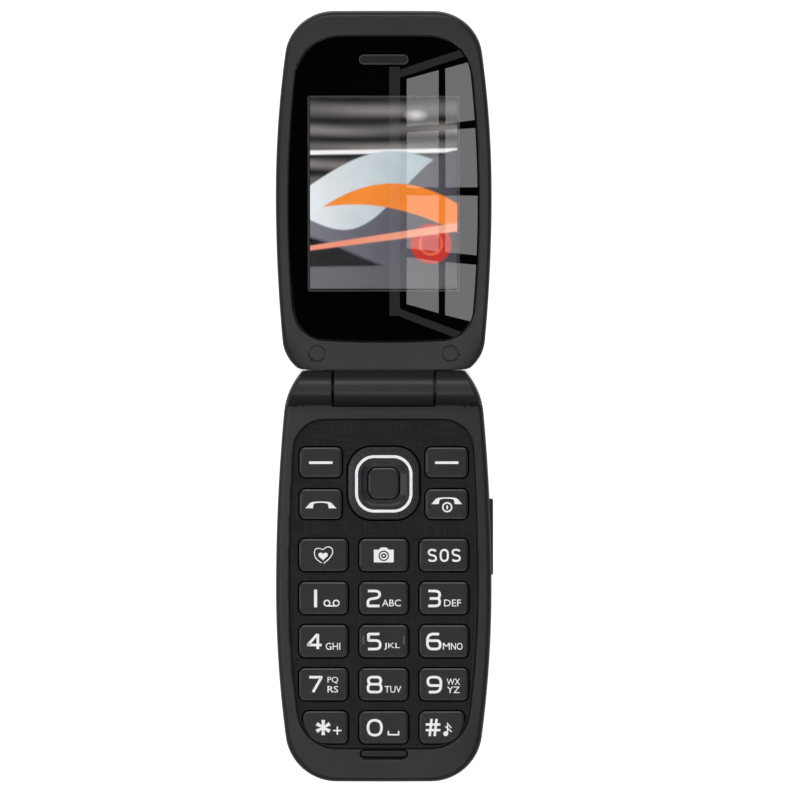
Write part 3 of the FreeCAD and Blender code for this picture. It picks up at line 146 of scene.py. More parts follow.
world = bpy.data.worlds.new("studio")
bpy.context.scene.world = world
world.use_nodes = True
tree = world.node_tree
height = shading(tree, "SeparateXYZ", {0: shading(tree, "TexCoord").outputs["Generated"]})
grey_levels = ((0.4, 0.03), (0.6, 0.005), (0.91, 0.005), (0.95, 0.25))
dome = ramp(tree, height.outputs["Z"], [(at, (level, level, level, 1)) for at, level in grey_levels])
ray = shading(tree, "LightPath")
seen = shading(tree, "MixRGB", {"Fac": ray.outputs["Is Camera Ray"], "Color1": dome, "Color2": (1, 1, 1, 1)})
feed(tree, tree.nodes["Background"], {"Color": seen.outputs[0]})

floor_mesh = bpy.data.meshes.new("floor")
floor_corners = [(x * FLOOR_REACH, y * FLOOR_REACH, 0) for x, y in ((-1, -1), (1, -1), (1, 1), (-1, 1))]
floor_mesh.from_pydata(floor_corners, [], [(0, 1, 2, 3)])
placed("floor", floor_mesh)
paper = plain_material("white_paper", {"Base Color": linear(190, 190, 190), "Roughness": 0.9,
                                       "Emission Color": (0.9, 0.9, 0.9, 1)})
tree = paper.node_tree
ray = shading(tree, "LightPath").outputs
through = shading(tree, "Math", {0: ray["Is Camera Ray"], 1: ray["Is Transmission Ray"]}, operation="MAXIMUM")
mirrored = shading(tree, "Math", {0: ray["Is Glossy Ray"], 1: FLOOR_MIRRORED, 2: through.outputs[0]},
                   operation="MULTIPLY_ADD")
shaded = shading(tree, "AmbientOcclusion", {"Distance": SHADOW_REACH})
cover = shading(tree, "MapRange", {"Value": shaded.outputs["AO"], "From Min": SHADOW_COVER[0],
                                   "From Max": SHADOW_COVER[1]})
lit = shading(tree, "Math", {0: cover.outputs["Result"], 1: mirrored.outputs[0]}, operation="MULTIPLY")
dress(paper, {"Emission Strength": lit.outputs[0]})
floor_mesh.materials.append(paper)

# Rear case
# The base's back shell, moulded in soft-touch plastic, with a well rounded back edge and the
# battery's bay behind the door. It is the machined solid, finished inside a finer outer form.
ARC_STEPS = (6, 18, 22, 22, 18, 6)
SKIN = 0.04
BASE_FACE_Z = 11.6
BASE_PARTING_Z = 7.0
BASE_BACK_ROUND = 2.7
PARTING_ROUND = 0.12
PARTING_GAP = 0.05
HINGE_Y = 50.0
HINGE_Z = 11.75
BASE_END_Y = 54.4
CASE_COLOUR = linear(38, 37, 41)
MERGE_DISTANCE = 0.0005
CLOUD_SCALE = 60.0
GLOSS_SWING = 0.08


def arcs(half_width, widest_y, low, high):
    """The right-hand arcs of an outline, from the low end's middle round to the high end's. Each
    end is its y and the radii of its long side, its corner and its bow, and each corner's arc
    touches the other two from inside. A row is a centre, a radius and two normal angles."""
    rows = []
    for way, (y, side, corner, bow) in ((-1, low), (1, high)):
        side_centre = np.array([half_width - side, widest_y])
        bow_centre = np.array([0.0, y - way * bow])
        span = hypot(*(bow_centre - side_centre))
        line = (bow_centre - side_centre) / span
        along = ((side - corner) ** 2 - (bow - corner) ** 2 + span**2) / (2 * span)
        across = np.array([line[1], -line[0]]) * sqrt((side - corner) ** 2 - along**2)
        spots = [side_centre + line * along + across * sign for sign in (1, -1)]
        centre = max(spots, key=lambda spot: spot[0] + way * spot[1])
        to_side = atan2(*(centre - side_centre)[::-1])
        to_bow = atan2(*(centre - bow_centre)[::-1])
        quarter = [(side_centre, side, 0.0, to_side), (centre, corner, to_side, to_bow),
                   (bow_centre, bow, to_bow, way * pi / 2)]
        if way < 0:
            quarter = [(c, r, last, first) for c, r, first, last in reversed(quarter)]
        rows += quarter
    return rows


def ring(outline, inset, z, low_y=-1000.0, high_y=1000.0):
    """A closed ring of points at one height: each is its arc's centre plus the radius less the
    inset along the normal, the left side mirrors the right, and y stays between two limits."""
    parts = []
    for (centre, radius, first, last), steps in zip(outline, ARC_STEPS):
        angle = np.linspace(first, last, steps, endpoint=False)
        normal = np.stack([np.cos(angle), np.sin(angle)], axis=1)
        parts.append(centre + (radius - inset) * normal)
    centre, radius = outline[-1][:2]
    parts.append([[0.0, centre[1] + radius - inset]])
    right = np.concatenate(parts)
    left = right[-2:0:-1] * (-1, 1)
    flat = np.concatenate([right, left])
    flat[:, 1] = np.clip(flat[:, 1], low_y + SKIN, high_y - SKIN)
    return np.column_stack([flat, np.full(len(flat), z)])


def rounding(inset, z, radius, way, steps=9, drop=None):
    """Insets and heights round a quarter circle, or a quarter ellipse with its own drop, from
    the wall to the face above it (way 1) or from the face under it to the wall (way -1)."""
    angle = np.linspace(0, pi / 2, steps)
    insets = inset + radius * (1 - np.cos(angle))
    heights = z - way * (drop or radius) * (1 - np.sin(angle))
    return list(zip(insets, heights))[::way]


def surface(name, points, faces):
    """A mesh from points in millimetres."""
    mesh = bpy.data.meshes.new(name)
    mesh.from_pydata((np.asarray(points) * MM).tolist(), [], faces)
    return mesh


def reworked(mesh, change):
    """A mesh after a change that works on an editable copy of it."""
    work = bmesh.new()
    work.from_mesh(mesh)
    change(work)
    work.to_mesh(mesh)
    work.free()
    return mesh


def closed_form(name, rings, hoop=False):
    """A closed solid from a stack of rings with the same number of points: a four-sided face
    between each two neighbours, and one flat face on the first and on the last ring. A hoop's
    last ring joins its first instead."""
    stack = np.asarray(rings)
    count, size = stack.shape[:2]
    index = np.arange(count * size).reshape(count, size)
    above = np.roll(index, -1, axis=0)
    quads = np.stack([index, np.roll(index, -1, axis=1), np.roll(above, -1, axis=1), above], axis=-1)
    faces = quads[: count if hoop else -1].reshape(-1, 4).tolist()
    if not hoop:
        faces += [index[0][::-1].tolist(), index[-1].tolist()]
    mesh = surface(name, stack.reshape(-1, 3), faces)
    return reworked(mesh, lambda work: bmesh.ops.recalc_face_normals(work, faces=work.faces))


def taken(*works):
    """The finished mesh of the first of some working objects, which are removed."""
    graph = bpy.context.evaluated_depsgraph_get()
    made = bpy.data.meshes.new_from_object(works[0].evaluated_get(graph))
    for work in works:
        bpy.data.objects.remove(work)
    return made


def combined(first, second, operation):
    """The solids of two meshes joined, shared or cut, as one new mesh."""
    pair = [placed("work", mesh) for mesh in (first, second)]
    step = pair[0].modifiers.new("work", "BOOLEAN")
    step.object, step.operation, step.solver = pair[1], operation, "EXACT"
    return taken(*pair)


def machined(node):
    """A copy of a CAD node's mesh with its loose triangles merged."""
    mesh = frame["nodes"][node].data.copy()
    mesh.materials.clear()
    distance = MERGE_DISTANCE * MM
    return reworked(mesh, lambda work: bmesh.ops.remove_doubles(work, verts=work.verts, dist=distance))


def finished_inside(node, form):
    """The node's own solid, kept only where it lies inside a finer outer form."""
    return combined(machined(node), form, "INTERSECT")


def toned(colour, share):
    """A colour made darker or lighter by a share."""
    return (*[level * share for level in colour[:3]], 1)


def plastic(name, colour, roughness, grain_size, grain_depth, mottle=0.06, specular=0.5):
    """Moulded plastic: its colour in faint clouds, and a fine grain that bumps the surface and
    varies its roughness. Sizes are in millimetres."""
    material = plain_material(name, {"Specular IOR Level": specular})
    tree = material.node_tree
    place = shading(tree, "TexCoord").outputs["Object"]
    clouds = shading(tree, "TexNoise", {"Vector": place, "Scale": CLOUD_SCALE, "Detail": 4.0})
    shades = [(at, toned(colour, share)) for at, share in ((0.3, 1 - mottle), (0.7, 1 + mottle))]
    grain = shading(tree, "TexNoise", {"Vector": place, "Scale": 1 / (grain_size * MM), "Detail": 2.0})
    rough = shading(tree, "MapRange", {"Value": grain.outputs["Fac"], "To Min": roughness - GLOSS_SWING,
                                       "To Max": roughness + GLOSS_SWING})
    bump = shading(tree, "Bump", {"Height": grain.outputs["Fac"], "Distance": grain_depth * MM})
    dress(material, {"Base Color": ramp(tree, clouds.outputs["Fac"], shades),
                     "Roughness": rough.outputs["Result"], "Normal": bump.outputs["Normal"]})
    return material


def piece(name, mesh, material, body, instead_of=(), sharp=32):
    """Puts a finished mesh in the scene, shaded smooth up to an angle in degrees, riding on its
    body and standing for its CAD nodes."""
    mesh.materials.clear()
    mesh.materials.append(material)
    mesh.shade_smooth()
    mesh.set_sharp_from_angle(angle=radians(sharp))
    made = placed(name, mesh)
    even = made.modifiers.new("even_shading", "WEIGHTED_NORMAL")
    even.keep_sharp = True
    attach(made, body)
    if instead_of:
        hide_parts(*instead_of)
    return made


BASE = arcs(27.0, 0.0, (-48.45, 285.0, 12.9, 2000.0), (60.0, 480.0, 17.6, 2000.0))
soft_touch = plastic("soft_touch_plastic", CASE_COLOUR, 0.38, 0.22, 0.005)

profile = [(SKIN + BASE_BACK_ROUND, -1.0)]
profile += rounding(SKIN, 0.0, BASE_BACK_ROUND, -1)
profile += rounding(SKIN, BASE_PARTING_Z - SKIN, PARTING_ROUND, 1, 3)
back_form = closed_form("back_form", [ring(BASE, inset, z, high_y=BASE_END_Y) for inset, z in profile])
piece("rear_case", finished_inside("base_rear_case", back_form), soft_touch, "base",
      ["base_rear_case"])

# Battery door
# The flat back cover, in the same plastic. It takes in the rounded lower end of the base and
# slides off that way, and it carries the loudspeaker's slots.
piece("door", finished_inside("battery_door", back_form), soft_touch, "battery_door",
      ["battery_door"])

# Front cover
# The keypad's frame with the two side knuckles of the hinge, one moulding. Its face falls away
# gently towards the rim, and the knuckles end in a rounded edge that follows the outline.
BASE_RIM_ROUND = 1.5
RIM_FALL = 0.2
RIM_FALL_REACH = 7.0
BASE_CORNER_FALL = 0.7
BASE_CORNER_START = (10.0, -30.0)
BASE_CORNER_REACH = 15.0
CORNER_DEPTH = 5.0
CORNER_LOW = 0.3
KNUCKLE_RADIUS = 4.4
KNUCKLE_START = 13.0
KNUCKLE_ROUND = 0.7
KNUCKLE_ROLL = 0.8
KNUCKLE_END_RINGS = (0.85, 0.7, 0.55, 0.4, 0.1)
GAP_ROUND = 0.2
BAR_STEPS = 72


def gentle_fall(start, z, fall, reach, steps=6):
    """Insets and heights of a face that rises to z with a cosine over its reach inwards."""
    share = np.linspace(0, 1, steps)[1:]
    insets = start + (reach - start) * share
    heights = z - fall * (1 + np.cos(pi * share)) / 2
    return list(zip(insets, heights))


def lower_corners(levels, profile, parting_z, fall, start, reach):
    """Lets the two lower corners of a face fall further: each point's drop is the fall times
    its shares of the way up the wall, in from the rim, out to the side and down the length."""
    for level, (inset, z) in zip(levels, profile):
        up = max(z - parting_z - CORNER_LOW, 0) / (face_z - parting_z)
        inward = max(1 - inset / CORNER_DEPTH, 0) ** 2
        side = np.clip((np.abs(level[:, 0]) - start[0]) / reach, 0, 1)
        low = np.clip((start[1] - level[:, 1]) / reach, 0, 1)
        level[:, 2] -= fall * up * inward * side * low


def bar(stations):
    """Rings round the hinge axis. A station is a radius and the x at which each point of that
    ring lies, as a function of its y."""
    turn = np.linspace(0, 2 * pi, BAR_STEPS, endpoint=False)
    rings = []
    for radius, x_at in stations:
        y = HINGE_Y + radius * np.cos(turn)
        z = HINGE_Z + radius * np.sin(turn)
        rings.append(np.column_stack([x_at(y), y, z]))
    return rings


def square_end(x, radius, way):
    """Stations of a bar's flat end at x with a broken edge: its first end for way -1 and its
    last for way 1."""
    return [(radius - depth, lambda y, x=height: np.full(len(y), x))
            for depth, height in rounding(0.0, x, GAP_ROUND, way, 4)]


def knuckle(side):
    """A side knuckle: a bar whose inner end is square with a broken edge, and whose outer end
    follows the base's outline with a rounded edge and rolls in towards its top and underside
    by a share of 1 less the square of the distance from the axis along y."""
    outline = ring(BASE, SKIN, 0.0)
    outline = outline[outline[:, 0] > 0]
    outline = outline[np.argsort(outline[:, 1])]
    reach = lambda y: np.interp(y, outline[:, 1], outline[:, 0])
    radius = KNUCKLE_RADIUS - SKIN
    stations = square_end(KNUCKLE_START + SKIN, radius, -1)

    def end_at(y, size, back):
        """The end's x at a ring of one size, pulled back by its edge's rounding and its roll."""
        across = np.clip(1 - ((y - HINGE_Y) / size) ** 2, 0, 1)
        return reach(y) + back - KNUCKLE_ROLL * (size / radius) ** 4 * across

    for depth, back in rounding(0.0, 0.0, KNUCKLE_ROUND, 1, 10):
        size = radius - depth
        stations.append((size, lambda y, size=size, back=back: end_at(y, size, back)))
    for share in KNUCKLE_END_RINGS:
        size = (radius - KNUCKLE_ROUND) * share
        stations.append((size, lambda y, size=size: end_at(y, size, 0.0)))
    rings = bar(stations)
    return closed_form("knuckle", [points * (side, 1, 1) for points in rings])


face_z = BASE_FACE_Z - SKIN
profile = rounding(SKIN, BASE_PARTING_Z + SKIN + PARTING_GAP, PARTING_ROUND, -1, 3)
profile += rounding(SKIN, face_z - RIM_FALL, BASE_RIM_ROUND, 1)
profile += gentle_fall(SKIN + BASE_RIM_ROUND, face_z, RIM_FALL, RIM_FALL_REACH)
levels = [ring(BASE, inset, z, high_y=BASE_END_Y) for inset, z in profile]
lower_corners(levels, profile, BASE_PARTING_Z, BASE_CORNER_FALL, BASE_CORNER_START, BASE_CORNER_REACH)
front_form = closed_form("front_form", levels)
for side in (-1, 1):
    front_form = combined(front_form, knuckle(side), "UNION")
PLATE = arcs(23.5, 0.0, (-40.15, 238.0, 9.8, 2000.0), (42.1, 546.0, 7.5, 1400.0))
PLATE_ROOM = 0.15
BED_EDGE = 0.3
BED_FLOOR_Z = 9.95
CLEAR_Z = 12.5
SMALLEST_CORNER = 0.05


def cover_height(points):
    """The front cover's height over points: the rim's fall, by their distance to the outline."""
    rim = ring(BASE, SKIN, 0.0)[:, :2]
    reach = np.hypot(*(points[:, None, :2] - rim[None]).transpose(2, 0, 1)).min(axis=1)
    share = np.clip((reach - BASE_RIM_ROUND) / (RIM_FALL_REACH - BASE_RIM_ROUND), 0, 1)
    return face_z - RIM_FALL * (1 + np.cos(pi * share)) / 2


def rounded_ring(x, y, size, corners, z, steps=8):
    """A ring round a rectangle. Each corner's points are its centre plus its own radius along
    the normal; the radii go round from the upper right, and one number serves for all four."""
    radii = np.broadcast_to(corners, 4)
    parts = []
    for n, (way_x, way_y) in enumerate(((1, 1), (-1, 1), (-1, -1), (1, -1))):
        radius = radii[n]
        angle = np.linspace(n * pi / 2, (n + 1) * pi / 2, steps)
        centre = np.array([x + way_x * (size[0] / 2 - radius), y + way_y * (size[1] / 2 - radius)])
        parts.append(centre + radius * np.stack([np.cos(angle), np.sin(angle)], axis=1))
    flat = np.concatenate(parts)
    return np.column_stack([flat, np.full(len(flat), z)])


def grown(size, by):
    """A size with a margin on every side."""
    return (size[0] + 2 * by, size[1] + 2 * by)


def stacked(name, x, y, size, corners, levels, steps=8):
    """A closed solid from rings round a rectangle, each drawn in by its inset at its height."""
    rings = []
    for inset, z in levels:
        radii = np.maximum(np.broadcast_to(corners, 4) - inset, SMALLEST_CORNER)
        rings.append(rounded_ring(x, y, grown(size, -inset), radii, z, steps))
    return closed_form(name, rings)


levels = [ring(PLATE, -PLATE_ROOM, BED_FLOOR_Z)]
for angle in np.linspace(0, pi / 2, 7):
    level = ring(PLATE, -PLATE_ROOM - BED_EDGE * (1 - cos(angle)), 0.0)
    level[:, 2] = cover_height(level) - BED_EDGE * (1 - sin(angle))
    levels.append(level)
levels.append(ring(PLATE, -PLATE_ROOM - BED_EDGE, CLEAR_Z))
plate_bed = closed_form("plate_bed", levels)
BUMPER = (0.05, -41.45, (11.7, 1.7), 0.84)
BUMPER_ROOM = 0.25
BUMPER_SEAT_Z = 10.95
SEAT_FLOOR_Z = BUMPER_SEAT_Z - 0.3
bumper_seat = stacked("bumper_seat", *BUMPER, [(-BUMPER_ROOM, z) for z in (SEAT_FLOOR_Z, CLEAR_Z)])
front_cover = combined(finished_inside("base_front_cover", front_form), plate_bed, "DIFFERENCE")
front_cover = combined(front_cover, bumper_seat, "DIFFERENCE")
piece("front_cover", front_cover, soft_touch, "base", ["base_front_cover"])

# Keypad plate
# A thin near-black plate let into the frame, embossed like linen, with a raised bead along its
# edge and a rounded window for each key.
PLATE_TOP_Z = 10.6
PLATE_THICKNESS = 0.7
KEY_ROOM = 0.3
WINDOW_ROUND = 0.07
BEAD_INSET = 0.42
BEAD_HALF = 0.16
BEAD_HEIGHT = 0.3
COLUMN_PITCH = 15.05
ROW_PITCH = 10.77
ROW_Y = 8.25
KEY_SIZE = (12.25, 8.1)
KEY_CORNER = 1.5
SIDE_KEY_X = 15.74
SIDE_KEY_SIZE = (10.6, 7.5)
SOFT_KEY_Y = 31.43
CALL_KEY_Y = 20.98
CORNER_KEY_SIZE = (11.235, 8.1)
CORNER_KEY_X = 14.54
CORNER_KEY_ROUND = 5.9
NAV_Y = 26.2
NAV_SIZE = (18.0, 18.25)
NAV_CORNER = 5.9


def key_places():
    """Name, centre, size and corner radii of every press key of the keypad."""
    places = []
    for side, soft, call in ((-1, "key_soft_left", "key_call"), (1, "key_soft_right", "key_end")):
        places.append((soft, side * SIDE_KEY_X, SOFT_KEY_Y, SIDE_KEY_SIZE, KEY_CORNER))
        places.append((call, side * SIDE_KEY_X, CALL_KEY_Y, SIDE_KEY_SIZE, KEY_CORNER))
    rows = (("key_favourite", "key_camera", "key_sos"), ("key_1", "key_2", "key_3"),
            ("key_4", "key_5", "key_6"), ("key_7", "key_8", "key_9"), ("", "key_0", ""))
    for row, names in enumerate(rows):
        for column, name in zip((-1, 0, 1), names):
            if name:
                y = ROW_Y - row * ROW_PITCH
                places.append((name, column * COLUMN_PITCH, y, KEY_SIZE, KEY_CORNER))
    y = ROW_Y - 4 * ROW_PITCH
    small, large = KEY_CORNER, CORNER_KEY_ROUND
    places.append(("key_star", -CORNER_KEY_X, y, CORNER_KEY_SIZE, (small, small, large, small)))
    places.append(("key_hash", CORNER_KEY_X, y, CORNER_KEY_SIZE, (small, small, small, large)))
    return places


def sheet_with_holes(name, loops, thickness, edge):
    """A flat sheet under z = 0 from its outer loop and the loops of its holes, with rounded
    edges: a filled flat curve made a mesh."""
    curve = bpy.data.curves.new(name, "CURVE")
    curve.dimensions, curve.fill_mode = "2D", "BOTH"
    curve.extrude = (thickness / 2 - edge) * MM
    curve.bevel_depth, curve.bevel_resolution = edge * MM, 2
    curve.offset = -edge * MM
    for loop in loops:
        spline = curve.splines.new("POLY")
        spline.points.add(len(loop) - 1)
        rows = np.column_stack([loop[:, :2] * MM, np.zeros(len(loop)), np.ones(len(loop))])
        spline.points.foreach_set("co", rows.astype(np.float32).ravel())
        spline.use_cyclic_u = True
    mesh = taken(placed(name, curve))
    mesh.transform(Matrix.Translation((0, 0, -thickness / 2 * MM)))
    return mesh


def joined(name, meshes):
    """Several meshes as one."""
    work = bmesh.new()
    for mesh in meshes:
        work.from_mesh(mesh)
    made = bpy.data.meshes.new(name)
    work.to_mesh(made)
    work.free()
    return made


def bead_round(outline, inset, half, low_z, height):
    """A half-round bead along an outline: rings whose inset swings across the bead as their
    height rises and falls with the sine."""
    rings = []
    for angle in np.linspace(0, pi, 9):
        rings.append(ring(outline, inset - half * cos(angle), low_z + height * sin(angle)))
    return closed_form("bead", rings, hoop=True)


def linen(name, colour):
    """Near-black plastic embossed like linen: two noises, each drawn out along one direction,
    give threads that are faintly lighter and stand up from the surface."""
    material = plastic(name, colour, 0.5, 0.2, 0.003, 0.05, 0.3)
    tree = material.node_tree
    place = shading(tree, "TexCoord").outputs["Object"]
    threads = []
    for stretch in ((3800, 160, 1), (160, 3800, 1)):
        turn = shading(tree, "Mapping", {"Vector": place, "Scale": stretch})
        noise = shading(tree, "TexNoise", {"Vector": turn.outputs["Vector"], "Scale": 1.0, "Detail": 1.0})
        threads.append(noise.outputs["Fac"])
    both = shading(tree, "Math", {0: threads[0], 1: threads[1]}, operation="MAXIMUM").outputs[0]
    tints = [(at, toned(colour, share)) for at, share in ((0.45, 0.6), (0.75, 2.4))]
    bump = shading(tree, "Bump", {"Height": both, "Distance": 0.03 * MM})
    dress(material, {"Base Color": ramp(tree, both, tints), "Normal": bump.outputs["Normal"]})
    return material


loops = [ring(PLATE, 0.0, 0.0)]
for name, x, y, size, corners in key_places():
    grown_corners = np.broadcast_to(corners, 4) + KEY_ROOM
    loops.append(rounded_ring(x, y, grown(size, KEY_ROOM), grown_corners, 0.0))
loops.append(rounded_ring(0, NAV_Y, grown(NAV_SIZE, KEY_ROOM), NAV_CORNER + KEY_ROOM, 0.0, 14))
sheet = sheet_with_holes("plate", loops, PLATE_THICKNESS, WINDOW_ROUND)
sheet.transform(Matrix.Translation((0, 0, PLATE_TOP_Z * MM)))
bead = bead_round(PLATE, BEAD_INSET, BEAD_HALF, PLATE_TOP_Z - BEAD_HALF / 2, BEAD_HEIGHT)
plate_material = linen("linen_plate", linear(17, 17, 20))
piece("plate", sheet, plate_material, "base", ["keypad_plate"])
# Painted highlight: the bead is part of the near-black plate but takes a lighter plastic, for the light line
# along its crest; its lower roughness is real.
bead_highlight_plastic = plastic("bead_highlight_plastic", linear(40, 40, 43), 0.3, 0.2, 0.002)
piece("plate_bead", bead, bead_highlight_plastic, "base")

# Press keys
# Twenty caps of hard dark plastic, each with a softly rounded upper edge, a flange that the
# plate holds down and a peg that presses its dome.
KEY_TOP_Z = 11.35
KEY_EDGE = 0.12
KEY_SLOPE = 0.34
KEY_SLOPE_DROP = 0.12
KEY_GAP_SHADE_Z = (10.3, 10.65)
FLANGE_Z = (9.3, 9.8)
FLANGE = 0.45
KEY_COLOUR = linear(36, 35, 40)
key_plastic = plastic("key_plastic", KEY_COLOUR, 0.28, 0.18, 0.004)


def painted_gap_shade(material, low_z, high_z):
    """Paints shade into a material: its colour and sheen fade to black between two heights at rest, standing
    in for the shade down in a narrow gap."""
    tree = material.node_tree
    shader = tree.nodes["Principled BSDF"]
    sheen = shader.inputs["Specular IOR Level"].default_value
    part = shading(tree, "SeparateXYZ", {0: shading(tree, "TexCoord").outputs["Object"]})
    share = shading(tree, "MapRange", {"Value": part.outputs["Z"], "From Min": low_z * MM,
                                       "From Max": high_z * MM}).outputs["Result"]
    shaded_sheen = shading(tree, "Math", {0: share, 1: sheen}, operation="MULTIPLY")
    plain = shader.inputs["Base Color"].links[0].from_socket
    shaded_colour = shading(tree, "MixRGB", {"Fac": share, "Color1": (0, 0, 0, 1), "Color2": plain})
    dress(material, {"Specular IOR Level": shaded_sheen.outputs[0], "Base Color": shaded_colour.outputs[0]})


def cap_mesh(name, x, y, size, corners, flange_z, top_z, edge, steps=8):
    """A key: a flange, a wall, an upper edge rounded over a quarter circle and a gentle slope up
    to the top."""
    profile = [(-FLANGE, flange_z[0]), (-FLANGE, flange_z[1]), (0.0, flange_z[1])]
    profile += rounding(0.0, top_z - KEY_SLOPE_DROP, edge, 1, 7)
    for share in (0.15, 0.85, 1.0, 1.3):
        profile.append((edge + KEY_SLOPE * share, top_z - KEY_SLOPE_DROP * max(1 - share, 0)))
    return stacked(name, x, y, size, corners, profile, steps)


# Painted shade: wherever the key plastic lies below these heights at rest, its colour and sheen fade to
# black, for the shade down in the gaps round the keys.
painted_gap_shade(key_plastic, *KEY_GAP_SHADE_Z)
for name, x, y, size, corners in key_places():
    cap = cap_mesh(name, x, y, size, corners, FLANGE_Z, KEY_TOP_Z, KEY_EDGE)
    piece(f"{name}_cap", cap, key_plastic, name, [name])

# Navigation ring and centre key
# The ring rocks four ways on its rubber pad. It is dished in a step towards the centre key,
# and a white line runs round its middle.
NAV_TOP_Z = 11.45
NAV_FACE_Z = NAV_TOP_Z - 0.02
NAV_FLANGE_Z = (9.45, 9.65)
NAV_EDGE = 0.45
OK_FLANGE_Z = (9.25, 9.45)
OK_SIZE = (7.7, 7.8)
OK_CORNER = 2.2
OK_ROOM = 0.25
LINE_Y = NAV_Y - 0.17
LINE_SIZE = (14.35, 14.35)
LINE_CORNER = 4.8
LINE_WIDTH = 0.72
DISH_SIZE = (10.4, 10.6)
DISH_CORNER = 3.2
DISH_STEPS = ((0.6, 0.6, 0.02), (0.25, 0.25, 0.06), (0.08, 0.1, 0.18), (-0.1, 0.0, 0.26))
HOLE_STEPS = ((0.2, 0.35, 0.33), (0.05, 0.3, 0.38), (0.0, 0.25, 0.5))


def nav_mesh():
    """The ring: rings of rounded rectangles carried up the outer wall, over its rounded edge,
    along the face, down the dish's step and down the inner wall, back to the start."""
    hole = grown(OK_SIZE, OK_ROOM)
    levels = [(grown(NAV_SIZE, FLANGE - 0.05), NAV_CORNER + FLANGE, NAV_FLANGE_Z[0]),
              (grown(NAV_SIZE, FLANGE - 0.05), NAV_CORNER + FLANGE, NAV_FLANGE_Z[1]),
              (NAV_SIZE, NAV_CORNER, NAV_FLANGE_Z[1])]
    for inset, z in rounding(0.0, NAV_TOP_Z - 0.1, NAV_EDGE, 1, 8):
        levels.append((grown(NAV_SIZE, -inset), NAV_CORNER - inset, z))
    levels += [(grown(NAV_SIZE, -1.2), NAV_CORNER - 0.9, NAV_FACE_Z), (LINE_SIZE, LINE_CORNER, NAV_FACE_Z)]
    for size, corner, steps in ((DISH_SIZE, DISH_CORNER, DISH_STEPS), (hole, OK_CORNER, HOLE_STEPS)):
        for growth, round_more, drop in steps:
            levels.append((grown(size, growth), corner + round_more, NAV_TOP_Z - drop))
    levels.append((hole, OK_CORNER + OK_ROOM, NAV_FLANGE_Z[0]))
    rings = [rounded_ring(0, NAV_Y, size, corner, z, 16) for size, corner, z in levels]
    return closed_form("nav_ring", rings, hoop=True)


piece("nav_rocker", nav_mesh(), key_plastic, "nav_ring", ["nav_ring"])
centre = cap_mesh("centre_key", 0, NAV_Y, OK_SIZE, OK_CORNER, OK_FLANGE_Z, KEY_TOP_Z, KEY_EDGE, 12)
piece("centre_key", centre, key_plastic, "ok_key", ["ok_key"])

# Bumper bar
# The strip of soft moulded rubber on which the shut lid rests. It is glued by its flange into a
# slot of the frame.
BUMPER_FLANGE = 0.2
BUMPER_TOP_Z = 11.74
BUMPER_EDGE = 0.4
SEAT_SHADE = 0.5
RUBBER_COLOUR = linear(24, 24, 26)
rubber = plastic("rubber", RUBBER_COLOUR, 0.5, 0.15, 0.005)
bumper_rubber_shaded = plastic("bumper_rubber_shaded", RUBBER_COLOUR, 0.45, 0.15, 0.005)
# Painted shade: the bumper's colour and sheen fade to black down in its seat, for the shade in the slot round
# it.
painted_gap_shade(bumper_rubber_shaded, BUMPER_SEAT_Z, BUMPER_SEAT_Z + SEAT_SHADE)
levels = [(-BUMPER_FLANGE, BUMPER_SEAT_Z - 0.25), (-BUMPER_FLANGE, BUMPER_SEAT_Z), (0.0, BUMPER_SEAT_Z)]
levels += rounding(0.0, BUMPER_TOP_Z, BUMPER_EDGE, 1, 7) + [(1.5 * BUMPER_EDGE, BUMPER_TOP_Z + 0.005)]
piece("bumper", stacked("bumper", *BUMPER, levels), bumper_rubber_shaded, "base", ["bumper_bar"])

# Legends
# White marks printed on the keys, a few hundredths of a millimetre thick: figures drawn as
# strokes, small letters in a plain face, and the usual signs for calls, camera and so on.
PRINT = 0.03
STROKE = 0.66
PRINT_STEP = 0.002
LENS_PRINT_RISE = 0.042
FIGURE_HEIGHT = 4.4
white_print = plastic("white_print", linear(254, 254, 255), 0.5, 0.1, 0.001, 0.01)


def softened(corners, radius, closed=False, steps=6):
    """A path through corner points with each corner replaced by points of a quadratic curve
    that starts and ends a radius away from it."""
    points = np.asarray(corners, float)
    count = len(points)
    path = [] if closed else [points[0]]
    for n in range(0 if closed else 1, count if closed else count - 1):
        before, here, after = points[n - 1], points[n], points[(n + 1) % count]
        for_way, back_way = after - here, before - here
        reach = np.broadcast_to(radius, count)[n]
        start = here + back_way * min(reach / hypot(*back_way), 0.5)
        stop = here + for_way * min(reach / hypot(*for_way), 0.5)
        t = np.linspace(0, 1, steps)[:, None]
        path += list((1 - t) ** 2 * start + 2 * t * (1 - t) * here + t**2 * stop)
    if not closed:
        path.append(points[-1])
    path = np.asarray(path)
    apart = np.hypot(*np.diff(path, axis=0).T) > 1e-4
    return path[np.concatenate([[True], apart])]


def ribbon(path, width, closed=False):
    """A flat band along a path: each point's two neighbours give its direction, and the band's
    edges lie half a width to either side, further out at a bend."""
    path = np.asarray(path, float)
    if closed:
        path = path[np.hypot(*(path - np.roll(path, 1, axis=0)).T) > 1e-6]
        before, after = np.roll(path, 1, axis=0), np.roll(path, -1, axis=0)
    else:
        before = np.concatenate([2 * path[:1] - path[1:2], path[:-1]])
        after = np.concatenate([path[1:], 2 * path[-1:] - path[-2:-1]])
    into, out = path - before, after - path
    into /= np.hypot(*into.T)[:, None]
    out /= np.hypot(*out.T)[:, None]
    along = into + out
    along /= np.hypot(*along.T)[:, None]
    square = np.column_stack([-along[:, 1], along[:, 0]])
    lean = np.maximum((along * out).sum(axis=1), 0.5)
    half = np.broadcast_to(width, len(path)) / 2 / lean
    left, right = path + square * half[:, None], path - square * half[:, None]
    count = len(path)
    index = np.arange(count if closed else count - 1)
    after = (index + 1) % count
    faces = np.stack([index + count, after + count, after, index], axis=-1).tolist()
    return np.concatenate([left, right]), faces


